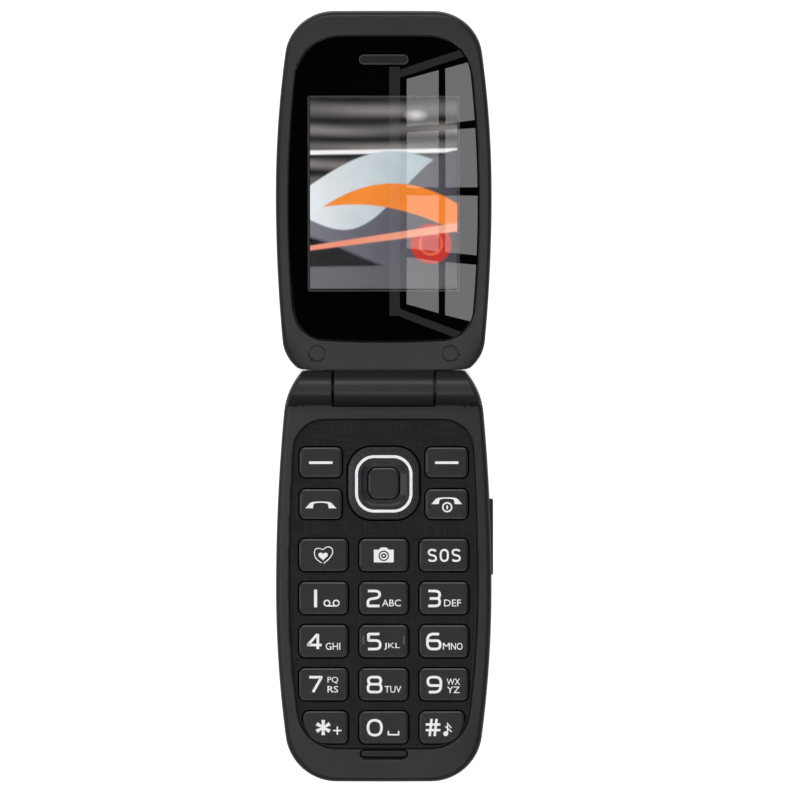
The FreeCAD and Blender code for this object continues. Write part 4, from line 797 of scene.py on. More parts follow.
def disc(x, y, radius, steps=28):
    """A flat round face."""
    angle = np.linspace(0, 2 * pi, steps, endpoint=False)
    return np.column_stack([x + radius * np.cos(angle), y + radius * np.sin(angle)]), [list(range(steps))]


def letters(word, x, y, width, height, weight=0.004):
    """A word in the built-in face, stretched into a box centred on x, y."""
    text = bpy.data.curves.new(word, "FONT")
    text.body, text.offset, text.resolution_u = word, weight, 3
    mesh = taken(placed("work", text))
    flat = np.array([v.co[:2] for v in mesh.vertices])
    low, high = flat.min(axis=0), flat.max(axis=0)
    flat = (flat - (low + high) / 2) / (high - low) * (width, height) + (x, y)
    return flat, [list(face.vertices) for face in mesh.polygons]


def thickened(work):
    """Turns every face of flat marks up and gives them the print's thickness."""
    bmesh.ops.reverse_faces(work, faces=[face for face in work.faces if face.normal.z < 0])
    bmesh.ops.solidify(work, geom=work.faces[:], thickness=PRINT * MM)


def print_mesh(name, x, y, z, marks):
    """Flat marks, placed from a key's centre, as one thin closed print. Each mark lies a hair
    above the one before, so that no two faces coincide where strokes cross."""
    points, faces = [], []
    for step, (flat, polygons) in enumerate(marks):
        start = sum(len(p) for p in points)
        flat = np.asarray(flat) + (x, y)
        points.append(np.column_stack([flat, np.full(len(flat), z + step * PRINT_STEP)]))
        faces += [[n + start for n in polygon] for polygon in polygons]
    return reworked(surface(name, np.concatenate(points), faces), thickened)


def printed_line(name, path, z, width):
    """A closed line along a path, as a thin print."""
    return print_mesh(name, 0, 0, z, [ribbon(path[:, :2], width, True)])


def figure(strokes, x, width, closed=False, height=FIGURE_HEIGHT, stroke=STROKE):
    """A figure from strokes on a unit square, each a list of corners and a corner radius."""
    marks = []
    for corners, radius in strokes:
        scaled = (np.asarray(corners, float) - 0.5) * (width - stroke, height - stroke)
        marks.append(ribbon(softened(scaled + (x, -0.1), radius, closed), stroke, closed))
    return marks


def arc_path(x, y, radius_x, radius_y, start, stop, steps=32):
    """Points of an ellipse's arc between two angles in degrees."""
    angle = np.linspace(radians(start), radians(stop), steps)
    return np.column_stack([x + radius_x * np.cos(angle), y + radius_y * np.sin(angle)])


def ring_line(x, y, radius, width, steps=32):
    """A round line."""
    return ribbon(arc_path(x, y, radius, radius, 0, 360, steps), width, True)


def heart(x, y, width, height, steps=40):
    """The well-known heart curve: x is the sine cubed and y a sum of four cosines."""
    t = np.linspace(0, 2 * pi, steps, endpoint=False)
    across = np.sin(t) ** 3
    up = (13 * np.cos(t) - 5 * np.cos(2 * t) - 2 * np.cos(3 * t) - np.cos(4 * t)) / 14.5
    return np.column_stack([x + width / 2 * across, y + height / 2 * up])


def handset(x, y, width, height):
    """A telephone receiver lying face down: an arch with thick ends and a thin bow."""
    outer = softened([(-1, -1), (-0.62, 1), (0.62, 1), (1, -1)], 0.55)
    inner = softened([(0.52, -1), (0.45, 0.62), (-0.45, 0.62), (-0.52, -1)], (0, 0.5, 0.5, 0))
    shape = np.concatenate([outer, inner]) * (width / 2, height / 2) + (x, y)
    return shape, [list(range(len(shape)))[::-1]]


TOP, MID, LOW = 1.0, 0.5, 0.0
DASH = ribbon([(-2.95, -0.1), (-2.85, -0.1), (2.85, -0.1), (2.95, -0.1)], (0.4, 0.66, 0.66, 0.4))
HEART_LINE = [(-0.45, -2.0), (-2.3, -0.7), (-2.3, 1.55), (-0.9, 1.75), (-0.17, 1.2), (0.5, 2.0), (1.9, 2.05),
              (2.45, 0.7), (1.6, -0.8), (0.0, -2.1)]
LETTER_SIZE = (2.3, 3.25)
LETTER_STROKE = 0.5
LETTER_S = ([(0.97, 0.86), (0.84, TOP), (LOW, TOP), (LOW, 0.56), (TOP, 0.46), (TOP, LOW), (0.16, LOW),
             (0.0, 0.14)], (0, 0.6, 1.0, 0.9, 0.9, 1.0, 0.6, 0))
LETTER_O = ([(LOW, LOW), (TOP, LOW), (TOP, TOP), (LOW, TOP)], 1.15)


def capital(letter, x, closed=False):
    """A capital letter of the SOS key."""
    return figure([letter], x, LETTER_SIZE[0], closed, LETTER_SIZE[1], LETTER_STROKE)


LEGENDS = {
    "key_soft_left": [DASH],
    "key_soft_right": [DASH],
    "key_call": [handset(0, -0.2, 7.7, 1.7)],
    "key_end": [handset(0, 0.84, 7.7, 1.7), ring_line(0.12, -0.78, 1.1, 0.38),
                ribbon([(0.12, -0.3), (0.12, -1.26)], 0.38)],
    "key_favourite": [(heart(-0.13, -0.24, 2.4, 2.05), [list(range(40))[::-1]]),
                      ribbon(softened(HEART_LINE, 1.2), 0.24)],
    "key_camera": [],
    "key_sos": capital(LETTER_S, -2.9) + capital(LETTER_O, 0.08, True) + capital(LETTER_S, 3.05),
    "key_1": [ribbon([(-1.99, -2.3), (-1.99, 2.1)], 0.78)],
    "key_2": figure([([(LOW, TOP), (TOP, TOP), (TOP, 0.55), (LOW, 0.45), (LOW, LOW), (TOP, LOW)],
                      (0, 1.3, 1.1, 1.1, 0.3, 0))], -2.5, 3.6),
    "key_3": figure([([(LOW, TOP), (TOP, TOP), (TOP, MID), (0.12, MID)], (0, 1.2, 0.9, 0)),
                     ([(MID, MID), (TOP, MID), (TOP, LOW), (LOW, LOW)], (0, 0.9, 1.2, 0))], -2.5, 3.5),
    "key_4": figure([([(TOP, 0.27), (LOW, 0.27), (0.7, TOP)], (0, 0.12, 0)),
                     ([(0.72, TOP), (0.72, LOW)], 0)], -2.2, 4.1),
    "key_5": figure([([(0.93, TOP), (0.03, TOP), (0.03, 0.57), (TOP, 0.57), (TOP, LOW), (LOW, LOW)],
                      (0, 0.2, 0.2, 1.2, 1.2, 0))], -2.4, 3.7),
    "key_6": figure([([(0.92, TOP), (LOW, TOP), (LOW, LOW), (TOP, LOW), (TOP, 0.56), (MID, 0.56)],
                      (0, 1.7, 1.4, 1.1, 1.1, 0)), ([(MID, 0.56), (0.02, 0.56)], 0)], -2.55, 3.85),
    "key_7": figure([([(LOW, TOP), (0.98, TOP), (0.3, LOW)], (0, 0.25, 0))], -2.0, 3.8),
    "key_8": figure([([(0.04, 0.53), (0.04, TOP), (0.96, TOP), (0.96, 0.53)], 0.95),
                     ([(LOW, 0.53), (TOP, 0.53), (TOP, LOW), (LOW, LOW)], 1.0)], -2.3, 4.0, True),
    "key_9": figure([([(0.08, LOW), (TOP, LOW), (TOP, TOP), (LOW, TOP), (LOW, 0.44), (MID, 0.44)],
                      (0, 1.7, 1.4, 1.1, 1.1, 0)), ([(MID, 0.44), (0.98, 0.44)], 0)], -2.4, 3.9),
    "key_0": figure([([(LOW, LOW), (TOP, LOW), (TOP, TOP), (LOW, TOP)], 1.9)], -2.25, 4.05, True),
    "key_hash": [],
    "key_star": [],
}
for name, word, x, y, width, rise in (
    ("key_2", "ABC", 1.9, -1.22, 4.7, 1.72), ("key_3", "DEF", 2.15, -1.22, 4.25, 1.72),
    ("key_4", "GHI", 2.35, -1.29, 3.65, 1.75), ("key_5", "JKL", 2.05, -1.29, 4.0, 1.7),
    ("key_6", "M", 0.62, -1.29, 1.75, 1.75), ("key_6", "NO", 3.2, -1.29, 2.9, 1.75),
    ("key_7", "PQ", 2.32, 1.0, 2.67, 1.7),
    ("key_7", "RS", 2.32, -1.25, 2.67, 1.65), ("key_8", "TUV", 2.3, -1.28, 4.15, 1.68),
    ("key_9", "WX", 2.35, 0.62, 3.35, 1.62), ("key_9", "YZ", 2.35, -1.4, 3.2, 1.62),
):
    LEGENDS[name].append(letters(word, x, y, width, rise))
LEGENDS["key_1"] += [ring_line(0.85, -1.25, 0.7, 0.32), ring_line(3.15, -1.25, 0.7, 0.32),
                     ribbon([(0.85, -1.95), (3.15, -1.95)], 0.32)]
LEGENDS["key_0"].append(ribbon([(1.15, -0.9), (1.15, -1.85), (3.7, -1.85), (3.7, -0.9)], 0.36))
for turn in (0, 60, 120):
    way = np.array([sin(radians(turn)), cos(radians(turn))])
    arm = np.array([-1.9, -1.0, -0.2, 0.2, 1.0, 1.9])[:, None] * way + (-0.6, -0.05)
    LEGENDS["key_star"].append(ribbon(arm, (0.95, 0.75, 0.5, 0.5, 0.75, 0.95)))
LEGENDS["key_star"] += [ribbon([(1.9, -0.8), (3.95, -0.8)], 0.35), ribbon([(2.92, -1.85), (2.92, 0.2)], 0.35)]
for lean in (-0.62, 0.62):
    LEGENDS["key_hash"].append(ribbon([(-2.45 + lean, -2.2), (-1.95 + lean, 2.1)], 0.62))
    LEGENDS["key_hash"].append(ribbon([(-4.05, lean * 1.15), (-0.4, lean * 1.15)], 0.6))
LEGENDS["key_hash"] += [disc(0.95, -1.6, 0.62), ribbon([(1.42, -1.6), (1.42, 0.95), (2.35, -0.2)], 0.34),
                        ribbon([(0.85, 0.25), (2.45, -1.15)], 0.28)]
body = softened([(-2.5, -1.85), (2.5, -1.85), (2.5, 1.35), (1.15, 1.35), (0.75, 1.9), (-0.75, 1.9),
                 (-1.15, 1.35), (-2.5, 1.35)], 0.25, True)
LEGENDS["key_camera"] = [(body, [list(range(len(body)))])]
places = {name: (x, y) for name, x, y, size, corners in key_places()}
for name, marks in LEGENDS.items():
    legend = print_mesh(f"{name}_legend", *places[name], KEY_TOP_Z + PRINT, marks)
    piece(f"{name}_legend", legend, white_print, name)
lens_marks = [ring_line(0, -0.2, 1.15, 0.34), ring_line(0, -0.2, 0.45, 0.4)]
lens_mesh = print_mesh("lens", *places["key_camera"], KEY_TOP_Z + LENS_PRINT_RISE, lens_marks)
piece("key_camera_lens_print", lens_mesh, key_plastic, "key_camera")
RIB_X, RIB_Y = 5.05, 0.25
RIB_SIZE = (0.4, 2.1)
RIB_CORNER = 0.19
RIB_EDGE = RIB_RISE = 0.13
levels = [(0.0, KEY_TOP_Z - 0.1), (0.0, KEY_TOP_Z + RIB_RISE / 2), (RIB_EDGE, KEY_TOP_Z + RIB_RISE)]
x, y = places["key_5"]
ribs = [stacked("rib", x + side * RIB_X, y + RIB_Y, RIB_SIZE, RIB_CORNER, levels) for side in (-1, 1)]
rib_plastic = plastic("rib_plastic", linear(92, 92, 96), 0.4, 0.15, 0.002)
piece("key_5_ribs", joined("ribs", ribs), rib_plastic, "key_5")
line_path = rounded_ring(0, LINE_Y, grown(LINE_SIZE, -LINE_WIDTH / 2), LINE_CORNER - LINE_WIDTH / 2, 0, 16)
line = printed_line("nav_line", line_path, NAV_FACE_Z + PRINT, LINE_WIDTH)
piece("nav_white_line", line, white_print, "nav_ring")

# Volume key
# A long rocker moulded in rubbery plastic, which stands half a millimetre proud of the base's
# right side and works two small switches inside.
VOLUME_Y, VOLUME_Z = 12.8, 8.2
VOLUME_SIZE = (2.0, 19.1)
VOLUME_CORNER = 0.98
VOLUME_X = (24.3, 27.34)
VOLUME_EDGE = 0.35
levels = [(0.0, VOLUME_X[0])] + rounding(0.0, VOLUME_X[1], VOLUME_EDGE, 1, 7)
levels.append((2 * VOLUME_EDGE, VOLUME_X[1] + 0.005))
volume = stacked("volume", -VOLUME_Z, VOLUME_Y, VOLUME_SIZE, VOLUME_CORNER, levels, 10)
volume.transform(Matrix.Rotation(pi / 2, 4, "Y"))
piece("volume_rocker", volume, rubber, "volume_key", ["volume_key"])

# Lid shells
# The lid's inner frame with the hinge's centre barrel, and its outer cover, both soft-touch
# plastic. They are drawn opened flat and turned up 15 degrees about the hinge axis.
LID_TILT = 15
LID_END_Y = 54.6
LID_BACK_Z, LID_PARTING_Z = 3.2, 9.0
LID_BACK_ROUND = 2.2
LID_DRAFT = 1.7
LID_RIM_ROUND = 1.15
LID_RIM_FALL = 0.12
LID_RIM_FALL_REACH = 5.0
LID_CORNER_FALL = 1.0
LID_CORNER_START = (15.0, 68.0)
LID_CORNER_REACH = 9.0
NECK_LOW_Z = 7.5
NECK_SINK = 0.2
BARREL_HALF = 12.5
LID = arcs(26.98, 99.2, (52.1, 427.0, 10.2, 400.0), (146.5, 275.0, 12.25, 2000.0))
axis = Matrix.Translation(Vector((0, HINGE_Y, HINGE_Z)) * MM)
OPENED = axis @ Matrix.Rotation(radians(LID_TILT), 4, "X") @ axis.inverted()


def opened(mesh):
    """Turns a lid piece that is drawn flat up to where the opened lid stands."""
    mesh.transform(OPENED)
    return mesh


def turned(name, x, y, outline, steps=64):
    """A closed solid turned round a vertical line: the radii and heights of its rings."""
    angle = np.linspace(0, 2 * pi, steps, endpoint=False)
    circle = np.column_stack([np.cos(angle), np.sin(angle), np.zeros(steps)])
    return closed_form(name, [circle * radius + (x, y, z) for radius, z in outline])


def leaning_wall(inset, low_z, high_z, draft, radius, steps=10):
    """Insets and heights of a wall that leans in by a draft towards its lower face, which it
    meets over a fillet: the fillet's centre lies a radius inside both."""
    lean = atan2(draft, high_z - low_z)
    centre_z = low_z + radius
    centre = inset + (high_z - centre_z + radius * sin(lean)) * draft / (high_z - low_z) + radius * cos(lean)
    angle = np.linspace(pi / 2, lean, steps)
    insets = centre - radius * np.cos(angle)
    heights = centre_z - radius * np.sin(angle)
    return [(centre + 0.5, low_z)] + list(zip(insets, heights)) + [(inset, high_z)]


profile = leaning_wall(SKIN, LID_BACK_Z + SKIN, LID_PARTING_Z - SKIN - PARTING_GAP, LID_DRAFT, LID_BACK_ROUND)
lid_back = closed_form("lid_back", [ring(LID, inset, z, low_y=LID_END_Y) for inset, z in profile])
piece("lid_cover", finished_inside("lid_rear_cover", opened(lid_back)), soft_touch, "lid",
      ["lid_rear_cover"])

profile = rounding(SKIN, LID_PARTING_Z + SKIN + PARTING_GAP, PARTING_ROUND, -1, 3)
profile += rounding(SKIN, face_z - LID_RIM_FALL, LID_RIM_ROUND, 1)
profile += gentle_fall(SKIN + LID_RIM_ROUND, face_z, LID_RIM_FALL, LID_RIM_FALL_REACH)
levels = [ring(LID, inset, z, low_y=LID_END_Y) for inset, z in profile]
lower_corners(levels, profile, LID_PARTING_Z, LID_CORNER_FALL, LID_CORNER_START, LID_CORNER_REACH)
lid_front = closed_form("lid_front", levels)
radius = KNUCKLE_RADIUS - SKIN
stations = square_end(SKIN - BARREL_HALF, radius, -1) + square_end(BARREL_HALF - SKIN, radius, 1)
barrel = closed_form("barrel", bar(stations))
neck_x = BARREL_HALF - GAP_ROUND
neck_y = LID_END_Y + 1
neck_ring = np.array([(neck_x, HINGE_Y), (neck_x, neck_y), (-neck_x, neck_y), (-neck_x, HINGE_Y)])
neck = closed_form("neck", [np.column_stack([neck_ring, np.full(4, z)])
                            for z in (NECK_LOW_Z, face_z - NECK_SINK)])
lid_front = combined(combined(lid_front, neck, "UNION"), barrel, "UNION")
lid_frame = finished_inside("lid_front_bezel", opened(lid_front))
CAP_PLACES = ((-16.65, 58.9), (16.65, 58.9))
CAP_RADIUS = 1.93
CAP_ROOM = 0.2
CAP_SEAT_Z = 11.1
for x, y in CAP_PLACES:
    seat = turned("cap_seat", x, y, [(CAP_RADIUS + CAP_ROOM, z) for z in (CAP_SEAT_Z, CLEAR_Z)])
    lid_frame = combined(lid_frame, opened(seat), "DIFFERENCE")
piece("lid_frame", lid_frame, soft_touch, "lid", ["lid_front_bezel"])

# Screw caps
# Two round plugs of the lid's own plastic, each pressed into a shallow seat over a screw near
# the hinge.
CAP_TOP_Z = face_z - 0.09
CAP_EDGE = 0.1
caps = []
for x, y in CAP_PLACES:
    levels = [(0.0, CAP_SEAT_Z)] + rounding(0.0, CAP_TOP_Z, CAP_EDGE, 1, 4) + [(3 * CAP_EDGE, CAP_TOP_Z)]
    caps.append(turned("cap", x, y, [(CAP_RADIUS - inset, z) for inset, z in levels], 40))
piece("screw_caps", opened(joined("caps", caps)), soft_touch, "lid", ["lid_screw_caps"])

# Display window
# One sheet of glossy black plastic, glued into a bed of the lid's frame. Its middle is clear
# for the display, and it has a slot for the earpiece.
LENS_LOW_Z, LENS_TOP_Z = 10.6, 11.55
LENS_EDGE = 0.25
LENS_CUT_Z = (10.0, 12.0)
LENS = arcs(23.7, 96.5, (61.7, 307.0, 8.25, 230.0), (140.85, 335.0, 11.25, 2000.0))


def gloss(name, colour, roughness=0.03, specular=0.5):
    """Polished black plastic: hardly any grain, and a few faint clouds in its roughness."""
    material = plastic(name, colour, roughness + 0.08, 8.0, 0.0005, 0.1, specular)
    rough = material.node_tree.nodes["Map Range"]
    rough.inputs["To Min"].default_value = roughness
    rough.inputs["To Max"].default_value = 1.2 * roughness + 0.002
    return material


def boxed(name, x, y, size, corner, low_z, high_z, edge=0.0, steps=5):
    """A flat solid with rounded corners and, if asked, a rounded upper edge."""
    levels = [(0.0, low_z)] + (rounding(0.0, high_z, edge, 1, 4) if edge else [(0.0, high_z)])
    return stacked(name, x, y, size, corner, levels, steps)


window_black = gloss("window_black", linear(3, 3, 4), 0.0)
PICTURE_Y = 100.1
PICTURE_SIZE = (36.72, 49.34)
FRAME_SIZE = (37.88, 50.4)
FRAME_CORNER = 0.3
EARPIECE_Y = 134.6
EARPIECE_SIZE = (12.3, 2.5)
SLOT_SIZE = grown(EARPIECE_SIZE, 0.06)
profile = [(SKIN, LENS_LOW_Z)] + rounding(SKIN, LENS_TOP_Z - SKIN, LENS_EDGE, 1, 5)
lens_form = closed_form("lens_form", [ring(LENS, inset, z) for inset, z in profile])
glass_cut = boxed("glass", 0, PICTURE_Y, FRAME_SIZE, FRAME_CORNER, *LENS_CUT_Z)
slot = boxed("slot", 0, EARPIECE_Y, SLOT_SIZE, EARPIECE_SIZE[1] / 2, *LENS_CUT_Z, 0, 12)
lens = finished_inside("display_window", opened(lens_form))
lens = combined(combined(lens, opened(glass_cut), "DIFFERENCE"), opened(slot), "DIFFERENCE")
piece("window_border", lens, window_black, "lid", ["display_window"])

# Display
# The lit picture under the window's clear middle, in its thin grey frame. The wallpaper is made
# up: blurred streaks, hills, ribbons and a sun.
PICTURE_Z = 10.6
PICTURE_STEPS = (184, 247)
SEAM_WIDTH = 0.48
SEAM_INSET = 0.22
PANE_LOW_Z = 10.66
PANE_ROOM = 0.01


def band(value, low, high, soft):
    """1 between two limits, 0 outside them, with soft edges."""
    rise = np.clip((value - low) / soft + 0.5, 0, 1)
    fall = np.clip((high - value) / soft + 0.5, 0, 1)
    return (rise * fall)[..., None]


def wallpaper(u, v):
    """Colours over the picture, with u across and v up from 0 to 1."""
    tone = lambda *rgb: np.array(linear(*rgb)[:3])
    waves = 0.5 + 0.5 * np.sin(61 * v + 1.3 * np.sin(9 * v) + 0.35 * np.sin(5 * u))
    waves *= 0.55 + 0.45 * np.sin(3.1 * u + 17 * v) ** 2
    colour = tone(14, 13, 14) + waves[..., None] * (tone(128, 124, 122) - tone(14, 13, 14))
    colour = colour + band(np.hypot((u - 0.72) / 2.6, v - 0.905), -1, 0.02, 0.03) * tone(190, 188, 186)
    layers = (
        (v, 0.7 + 0.012 * u, 0.722 + 0.012 * u, 0.008, (252, 252, 252), (235, 235, 236)),
        (v, -1, 0.52 + 0.2 * np.sin(2.6 * u + 0.1), 0.01, (236, 240, 244), (142, 168, 176)),
        (v, -1, 0.36 + 0.25 * u - 0.12 * np.sin(5 * u), 0.01, (120, 118, 130), (58, 56, 66)),
        (v, 0.44 - 0.3 * (u - 0.3) ** 2, 0.49 + 0.12 * u - 0.55 * (u - 0.45) ** 2, 0.008,
         (250, 146, 40), (246, 128, 30)),
        (v, -1, 0.19 + 0.1 * np.sin(3.4 * u + 2.2), 0.02, (12, 12, 14), (6, 6, 8)),
        (np.hypot((u - 0.82) * 0.75, v - 0.235), -1, 0.105, 0.01, (226, 60, 34), (190, 38, 26)),
        (np.hypot((u - 0.82) * 0.75, v - 0.235), 0.05, 0.062, 0.006, (238, 98, 70), (238, 98, 70)),
        (v, 0.2 + 0.1 * u, 0.225 + 0.12 * u, 0.008, (246, 150, 120), (250, 170, 140)),
        (v, -1, 0.115 + 0.01 * u, 0.012, (104, 103, 108), (78, 77, 82)),
    )
    for value, low, high, soft, start, stop in layers:
        share = band(value, low, high, soft)
        shade = tone(*start) + u[..., None] * (tone(*stop) - tone(*start))
        colour = colour * (1 - share) + shade * share
    return colour


def picture_mesh():
    """The wallpaper as a grid of small faces with a colour on every corner."""
    across, up = PICTURE_STEPS
    u, v = np.meshgrid(np.linspace(0, 1, across + 1), np.linspace(0, 1, up + 1))
    x = (u - 0.5) * PICTURE_SIZE[0]
    y = PICTURE_Y + (v - 0.5) * PICTURE_SIZE[1]
    index = np.arange(u.size).reshape(u.shape)
    faces = np.stack([index[:-1, :-1], index[:-1, 1:], index[1:, 1:], index[1:, :-1]], axis=-1)
    points = np.stack([x, y, np.full(u.shape, PICTURE_Z)], axis=-1).reshape(-1, 3)
    mesh = surface("picture", points, faces.reshape(-1, 4).tolist())
    colours = np.ones((u.size, 4), np.float32)
    colours[:, :3] = wallpaper(u, v).reshape(-1, 3)
    mesh.color_attributes.new("shown", "FLOAT_COLOR", "POINT").data.foreach_set("color", colours.ravel())
    return mesh


lit_picture = gloss("lit_picture", linear(4, 4, 5), 0.2)
shown = shading(lit_picture.node_tree, "VertexColor", layer_name="shown")
dress(lit_picture, {"Emission Color": shown.outputs["Color"], "Emission Strength": 1.0})
piece("display_picture", opened(picture_mesh()), lit_picture, "lid")

frame_grey = gloss("display_frame_grey", linear(66, 66, 67), 0.0)
seam = rounded_ring(0, PICTURE_Y, grown(FRAME_SIZE, -SEAM_INSET), FRAME_CORNER, 0, 5)
seam_line = printed_line("display_frame", seam, LENS_TOP_Z - SKIN / 2, SEAM_WIDTH)
piece("display_frame", opened(seam_line), frame_grey, "lid")

clear_glass = gloss("clear_glass", (1, 1, 1), 0.0)
dress(clear_glass, {"Transmission Weight": 1.0, "IOR": 1.45})
pane_size = grown(FRAME_SIZE, -PANE_ROOM)
pane = boxed("pane", 0, PICTURE_Y, pane_size, FRAME_CORNER - PANE_ROOM, PANE_LOW_Z, LENS_TOP_Z - SKIN)
piece("window_pane", opened(pane), clear_glass, "lid")

# Earpiece
# A slot in the window with a thin grey rim. A dark woven mesh is glued behind it, over the
# small speaker.
RIM_WIDTH = 0.24
rim_path = rounded_ring(0, EARPIECE_Y, grown(EARPIECE_SIZE, -RIM_WIDTH / 2),
                        (EARPIECE_SIZE[1] - RIM_WIDTH) / 2, 0, 12)
rim = printed_line("earpiece_rim", rim_path, LENS_TOP_Z - SKIN, RIM_WIDTH)
rim_grey = plastic("rim_grey", linear(62, 62, 64), 0.35, 0.2, 0.002)
piece("earpiece_rim", opened(rim), rim_grey, "lid")

# Studio window
# A small card of bright panes that only the lid's glass mirrors, with the posts between them
# left out. It stands where the picture's lines of sight, mirrored in the lid, come out.
CARD_DISTANCE = 450.0
PANES = (
    (5.74, 13.71, 77.0, 79.2, 65.2, 65.7), (15.36, 24.4, 79.6, 82.0, 65.8, 67.0),
    (5.74, 13.71, 63.7, 64.2, 49.9, 50.0), (15.36, 24.4, 64.3, 64.9, 50.0, 50.1),
    (5.74, 13.71, 48.0, 48.0, 34.9, 34.0), (15.36, 24.4, 48.0, 47.95, 33.9, 33.0),
    (5.74, 13.71, 32.7, 31.7, 21.0, 18.7), (15.36, 24.4, 31.5, 30.6, 18.2, 16.0),
)
FAINT_PANES = ((1.4, 4.06, 80.0, 80.0, 18.0, 18.0), (4.06, 24.4, 79.3, 86.0, 77.3, 84.0),
               (4.06, 24.4, 19.8, 12.0, 17.8, 10.0))


def card_spot(x, rise):
    """The point of the card that the camera sees mirrored in the lid at x and at a height above
    the hinge line, both in millimetres in the picture: the line of sight turned by the mirror."""
    tilt = radians(LID_TILT)
    glass_z = LENS_TOP_Z - SKIN
    across = (rise + (glass_z - HINGE_Z) * sin(tilt)) / cos(tilt)
    spot = OPENED @ (Vector((x, HINGE_Y + across, glass_z)) * MM)
    sight = (spot - camera.location).normalized()
    normal = Vector((0, -sin(tilt), cos(tilt)))
    return (spot + CARD_DISTANCE * MM * (sight - 2 * sight.dot(normal) * normal)) / MM


for name, panes, strength in (("bright_panes", PANES, 3.9), ("faint_panes", FAINT_PANES, 0.5)):
    corners, faces = [], []
    for left, right, high_left, high_right, low_left, low_right in panes:
        start = len(corners)
        corners += [card_spot(left, low_left), card_spot(right, low_right), card_spot(right, high_right),
                    card_spot(left, high_left)]
        faces.append([start, start + 1, start + 2, start + 3])
    card = placed(name, surface(name, [list(corner) for corner in corners], faces))
    glow = plain_material(name, {"Base Color": (0, 0, 0, 1), "Emission Color": (1, 1, 1, 1),
                                 "Emission Strength": strength})
    card.data.materials.append(glow)
    card.visible_camera = card.visible_diffuse = card.visible_shadow = card.visible_transmission = False

# Outer window and camera
# A black glossy window glued into the lid's outside, and the camera's steel ring with its glass
# and lens in a hole of the window.
OUTER_WINDOW = (0.0, 116.0, (31.92, 45.92), 4.96)
OUTER_GLASS_Z = 3.29
OUTER_CUT_Z = (2.0, 5.0)
CAMERA_Y = 132.0
CAMERA_HOLE_RADIUS = 4.26
levels = rounding(0.0, OUTER_GLASS_Z, LENS_EDGE, -1, 5) + [(0.0, OUTER_CUT_Z[1])]
outer_form = stacked("outer", *OUTER_WINDOW, levels, 10)
camera_hole = turned("hole", 0, CAMERA_Y, [(CAMERA_HOLE_RADIUS, z) for z in OUTER_CUT_Z])
outer_glass = combined(finished_inside("outer_window", opened(outer_form)), opened(camera_hole), "DIFFERENCE")
outer_black = gloss("outer_window_black", linear(3, 3, 4), 0.08, 0.3)
piece("outer_glass", outer_glass, outer_black, "lid", ["outer_window"])
brushed = plastic("brushed_steel", linear(150, 150, 154), 0.28, 0.1, 0.002)
dress(brushed, {"Metallic": 1.0})
lens_blue = gloss("camera_lens_blue", linear(16, 20, 44), 0.0)
RING_OUTLINE = ((3.25, 3.36), (3.25, 3.3), (3.35, 3.25), (3.85, 3.25), (4.05, 3.3), (4.05, 3.36),
                (3.65, 3.37))
LENS_OUTLINE = ((0.01, 3.29), (0.7, 3.295), (1.3, 3.31), (1.7, 3.33), (1.75, 3.345), (1.75, 3.36))
CELL_OUTLINE = ((1.8, 3.34), (3.2, 3.32), (3.2, 3.36), (1.8, 3.365))
for name, outline, material, slot in (
    ("camera_ring", RING_OUTLINE, brushed, "metal"),
    ("camera_lens", LENS_OUTLINE, lens_blue, "inner_plastic"),
    ("camera_cell", CELL_OUTLINE, window_black, "inner_plastic"),
):
    piece(name, opened(turned(name, 0, CAMERA_Y, outline)), material, "lid")

# Battery
# A flat pouch in a grey plastic wrap, with a black end that holds three contacts. It lies in the
# rear case's bay. The label is left bare.
WRAP_GREY, WRAP_END, WRAP_BAND = linear(150, 152, 156), linear(24, 24, 26), linear(52, 92, 140)
wrap = plastic("battery_wrap", WRAP_GREY, 0.35, 0.5, 0.004)


def banded(material, axis, steps):
    """Paints bands across one axis, by a ramp whose steps are millimetres and colours."""
    tree = material.node_tree
    first, last = steps[0][0], steps[-1][0]
    split = shading(tree, "SeparateXYZ", {0: shading(tree, "TexCoord").outputs["Object"]})
    spread = shading(tree, "MapRange", {"Value": split.outputs[axis], "From Min": first * MM,
                                        "From Max": last * MM})
    stops = [((at - first) / (last - first), colour) for at, colour in steps]
    dress(material, {"Base Color": ramp(tree, spread.outputs["Result"], stops, "CONSTANT")})


banded(wrap, "Y", [(-60.0, WRAP_GREY), (-34.0, WRAP_BAND), (-32.0, WRAP_GREY), (12.0, WRAP_BAND),
                   (14.0, WRAP_GREY), (20.5, WRAP_END), (60.0, WRAP_END)])

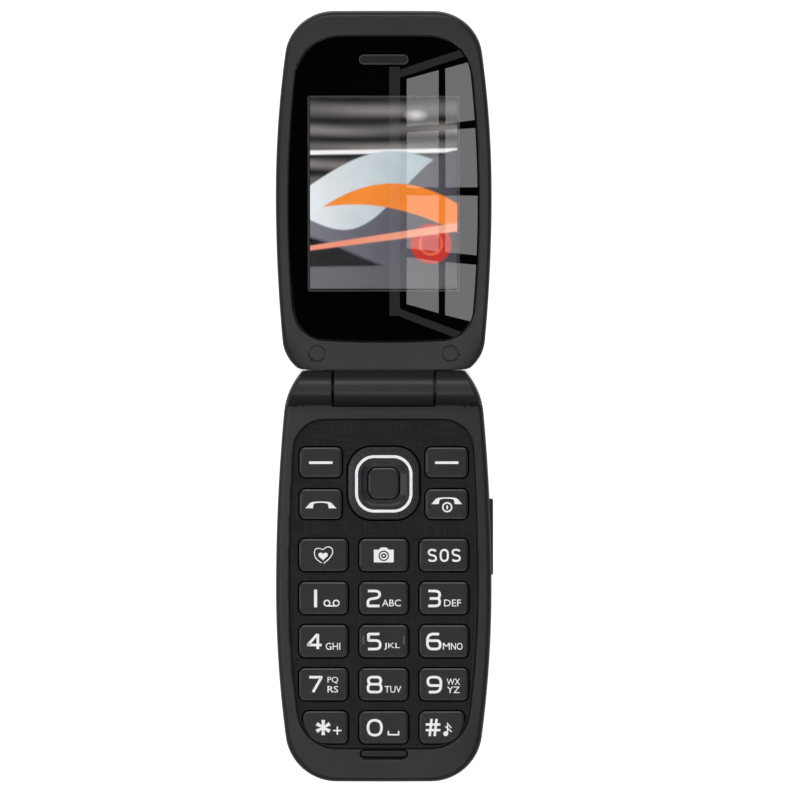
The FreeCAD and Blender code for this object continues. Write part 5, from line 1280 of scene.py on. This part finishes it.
# Circuit boards and film
# Green boards with faint tracks, and the amber film of the cable with its copper lines.
BOARD_COLOUR = linear(26, 84, 54)
board_green = plastic("circuit_board_green", BOARD_COLOUR, 0.35, 0.4, 0.004, 0.3)
tree = board_green.node_tree
place = shading(tree, "TexCoord").outputs["Object"]
tracks = shading(tree, "TexBrick", {
    "Vector": place, "Color1": BOARD_COLOUR, "Color2": linear(30, 92, 60),
    "Mortar": linear(70, 128, 84), "Scale": 400.0, "Mortar Size": 0.04,
})
dress(board_green, {"Base Color": tracks.outputs["Color"]})
amber_film = plastic("amber_film", linear(176, 108, 44), 0.3, 0.5, 0.002)
tree = amber_film.node_tree
place = shading(tree, "TexCoord").outputs["Object"]
lines = shading(tree, "TexWave", {"Vector": place, "Scale": 300.0})
tones = ramp(tree, lines.outputs["Fac"], [(0.0, linear(150, 84, 34)), (1.0, linear(206, 132, 60))])
dress(amber_film, {"Base Color": tones})

# Every other piece
# The inner pieces keep their machined solids and take the finish of what they are made of:
# plain and blackened steel, silicone, dark mouldings, and the displays' black panels.
steel = plastic("plain_steel", linear(176, 176, 180), 0.3, 0.3, 0.002)
dress(steel, {"Metallic": 1.0})
black_steel = plastic("black_steel", linear(38, 38, 40), 0.5, 0.3, 0.002)
silicone = plastic("grey_silicone", linear(96, 98, 102), 0.55, 0.3, 0.003)
inner_plastic = plastic("inner_plastic", linear(40, 40, 42), 0.5, 0.2, 0.005)
dark_mesh = plastic("dark_mesh", linear(14, 14, 15), 0.5, 0.25, 0.05)
panel_black = gloss("panel_black", linear(12, 12, 14), 0.1)
FINISHES = {
    "case": soft_touch, "keys": key_plastic, "nav_ring": key_plastic, "keypad_plate": plate_material,
    "rubber": silicone, "metal": steel, "circuit_board": board_green, "inner_plastic": inner_plastic,
    "window": window_black, "display": panel_black, "mesh": dark_mesh, "flex_film": amber_film,
}
OWN_FINISHES = {"hinge_shaft": black_steel, "hinge_pin": black_steel, "hinge_cartridge": black_steel,
                "battery": wrap}
for row in frame["record"]["subparts"]:
    node = frame["nodes"][row["node"]]
    node.data.materials.clear()
    node.data.materials.append(OWN_FINISHES.get(row["node"]) or FINISHES[row["material_slot"]])
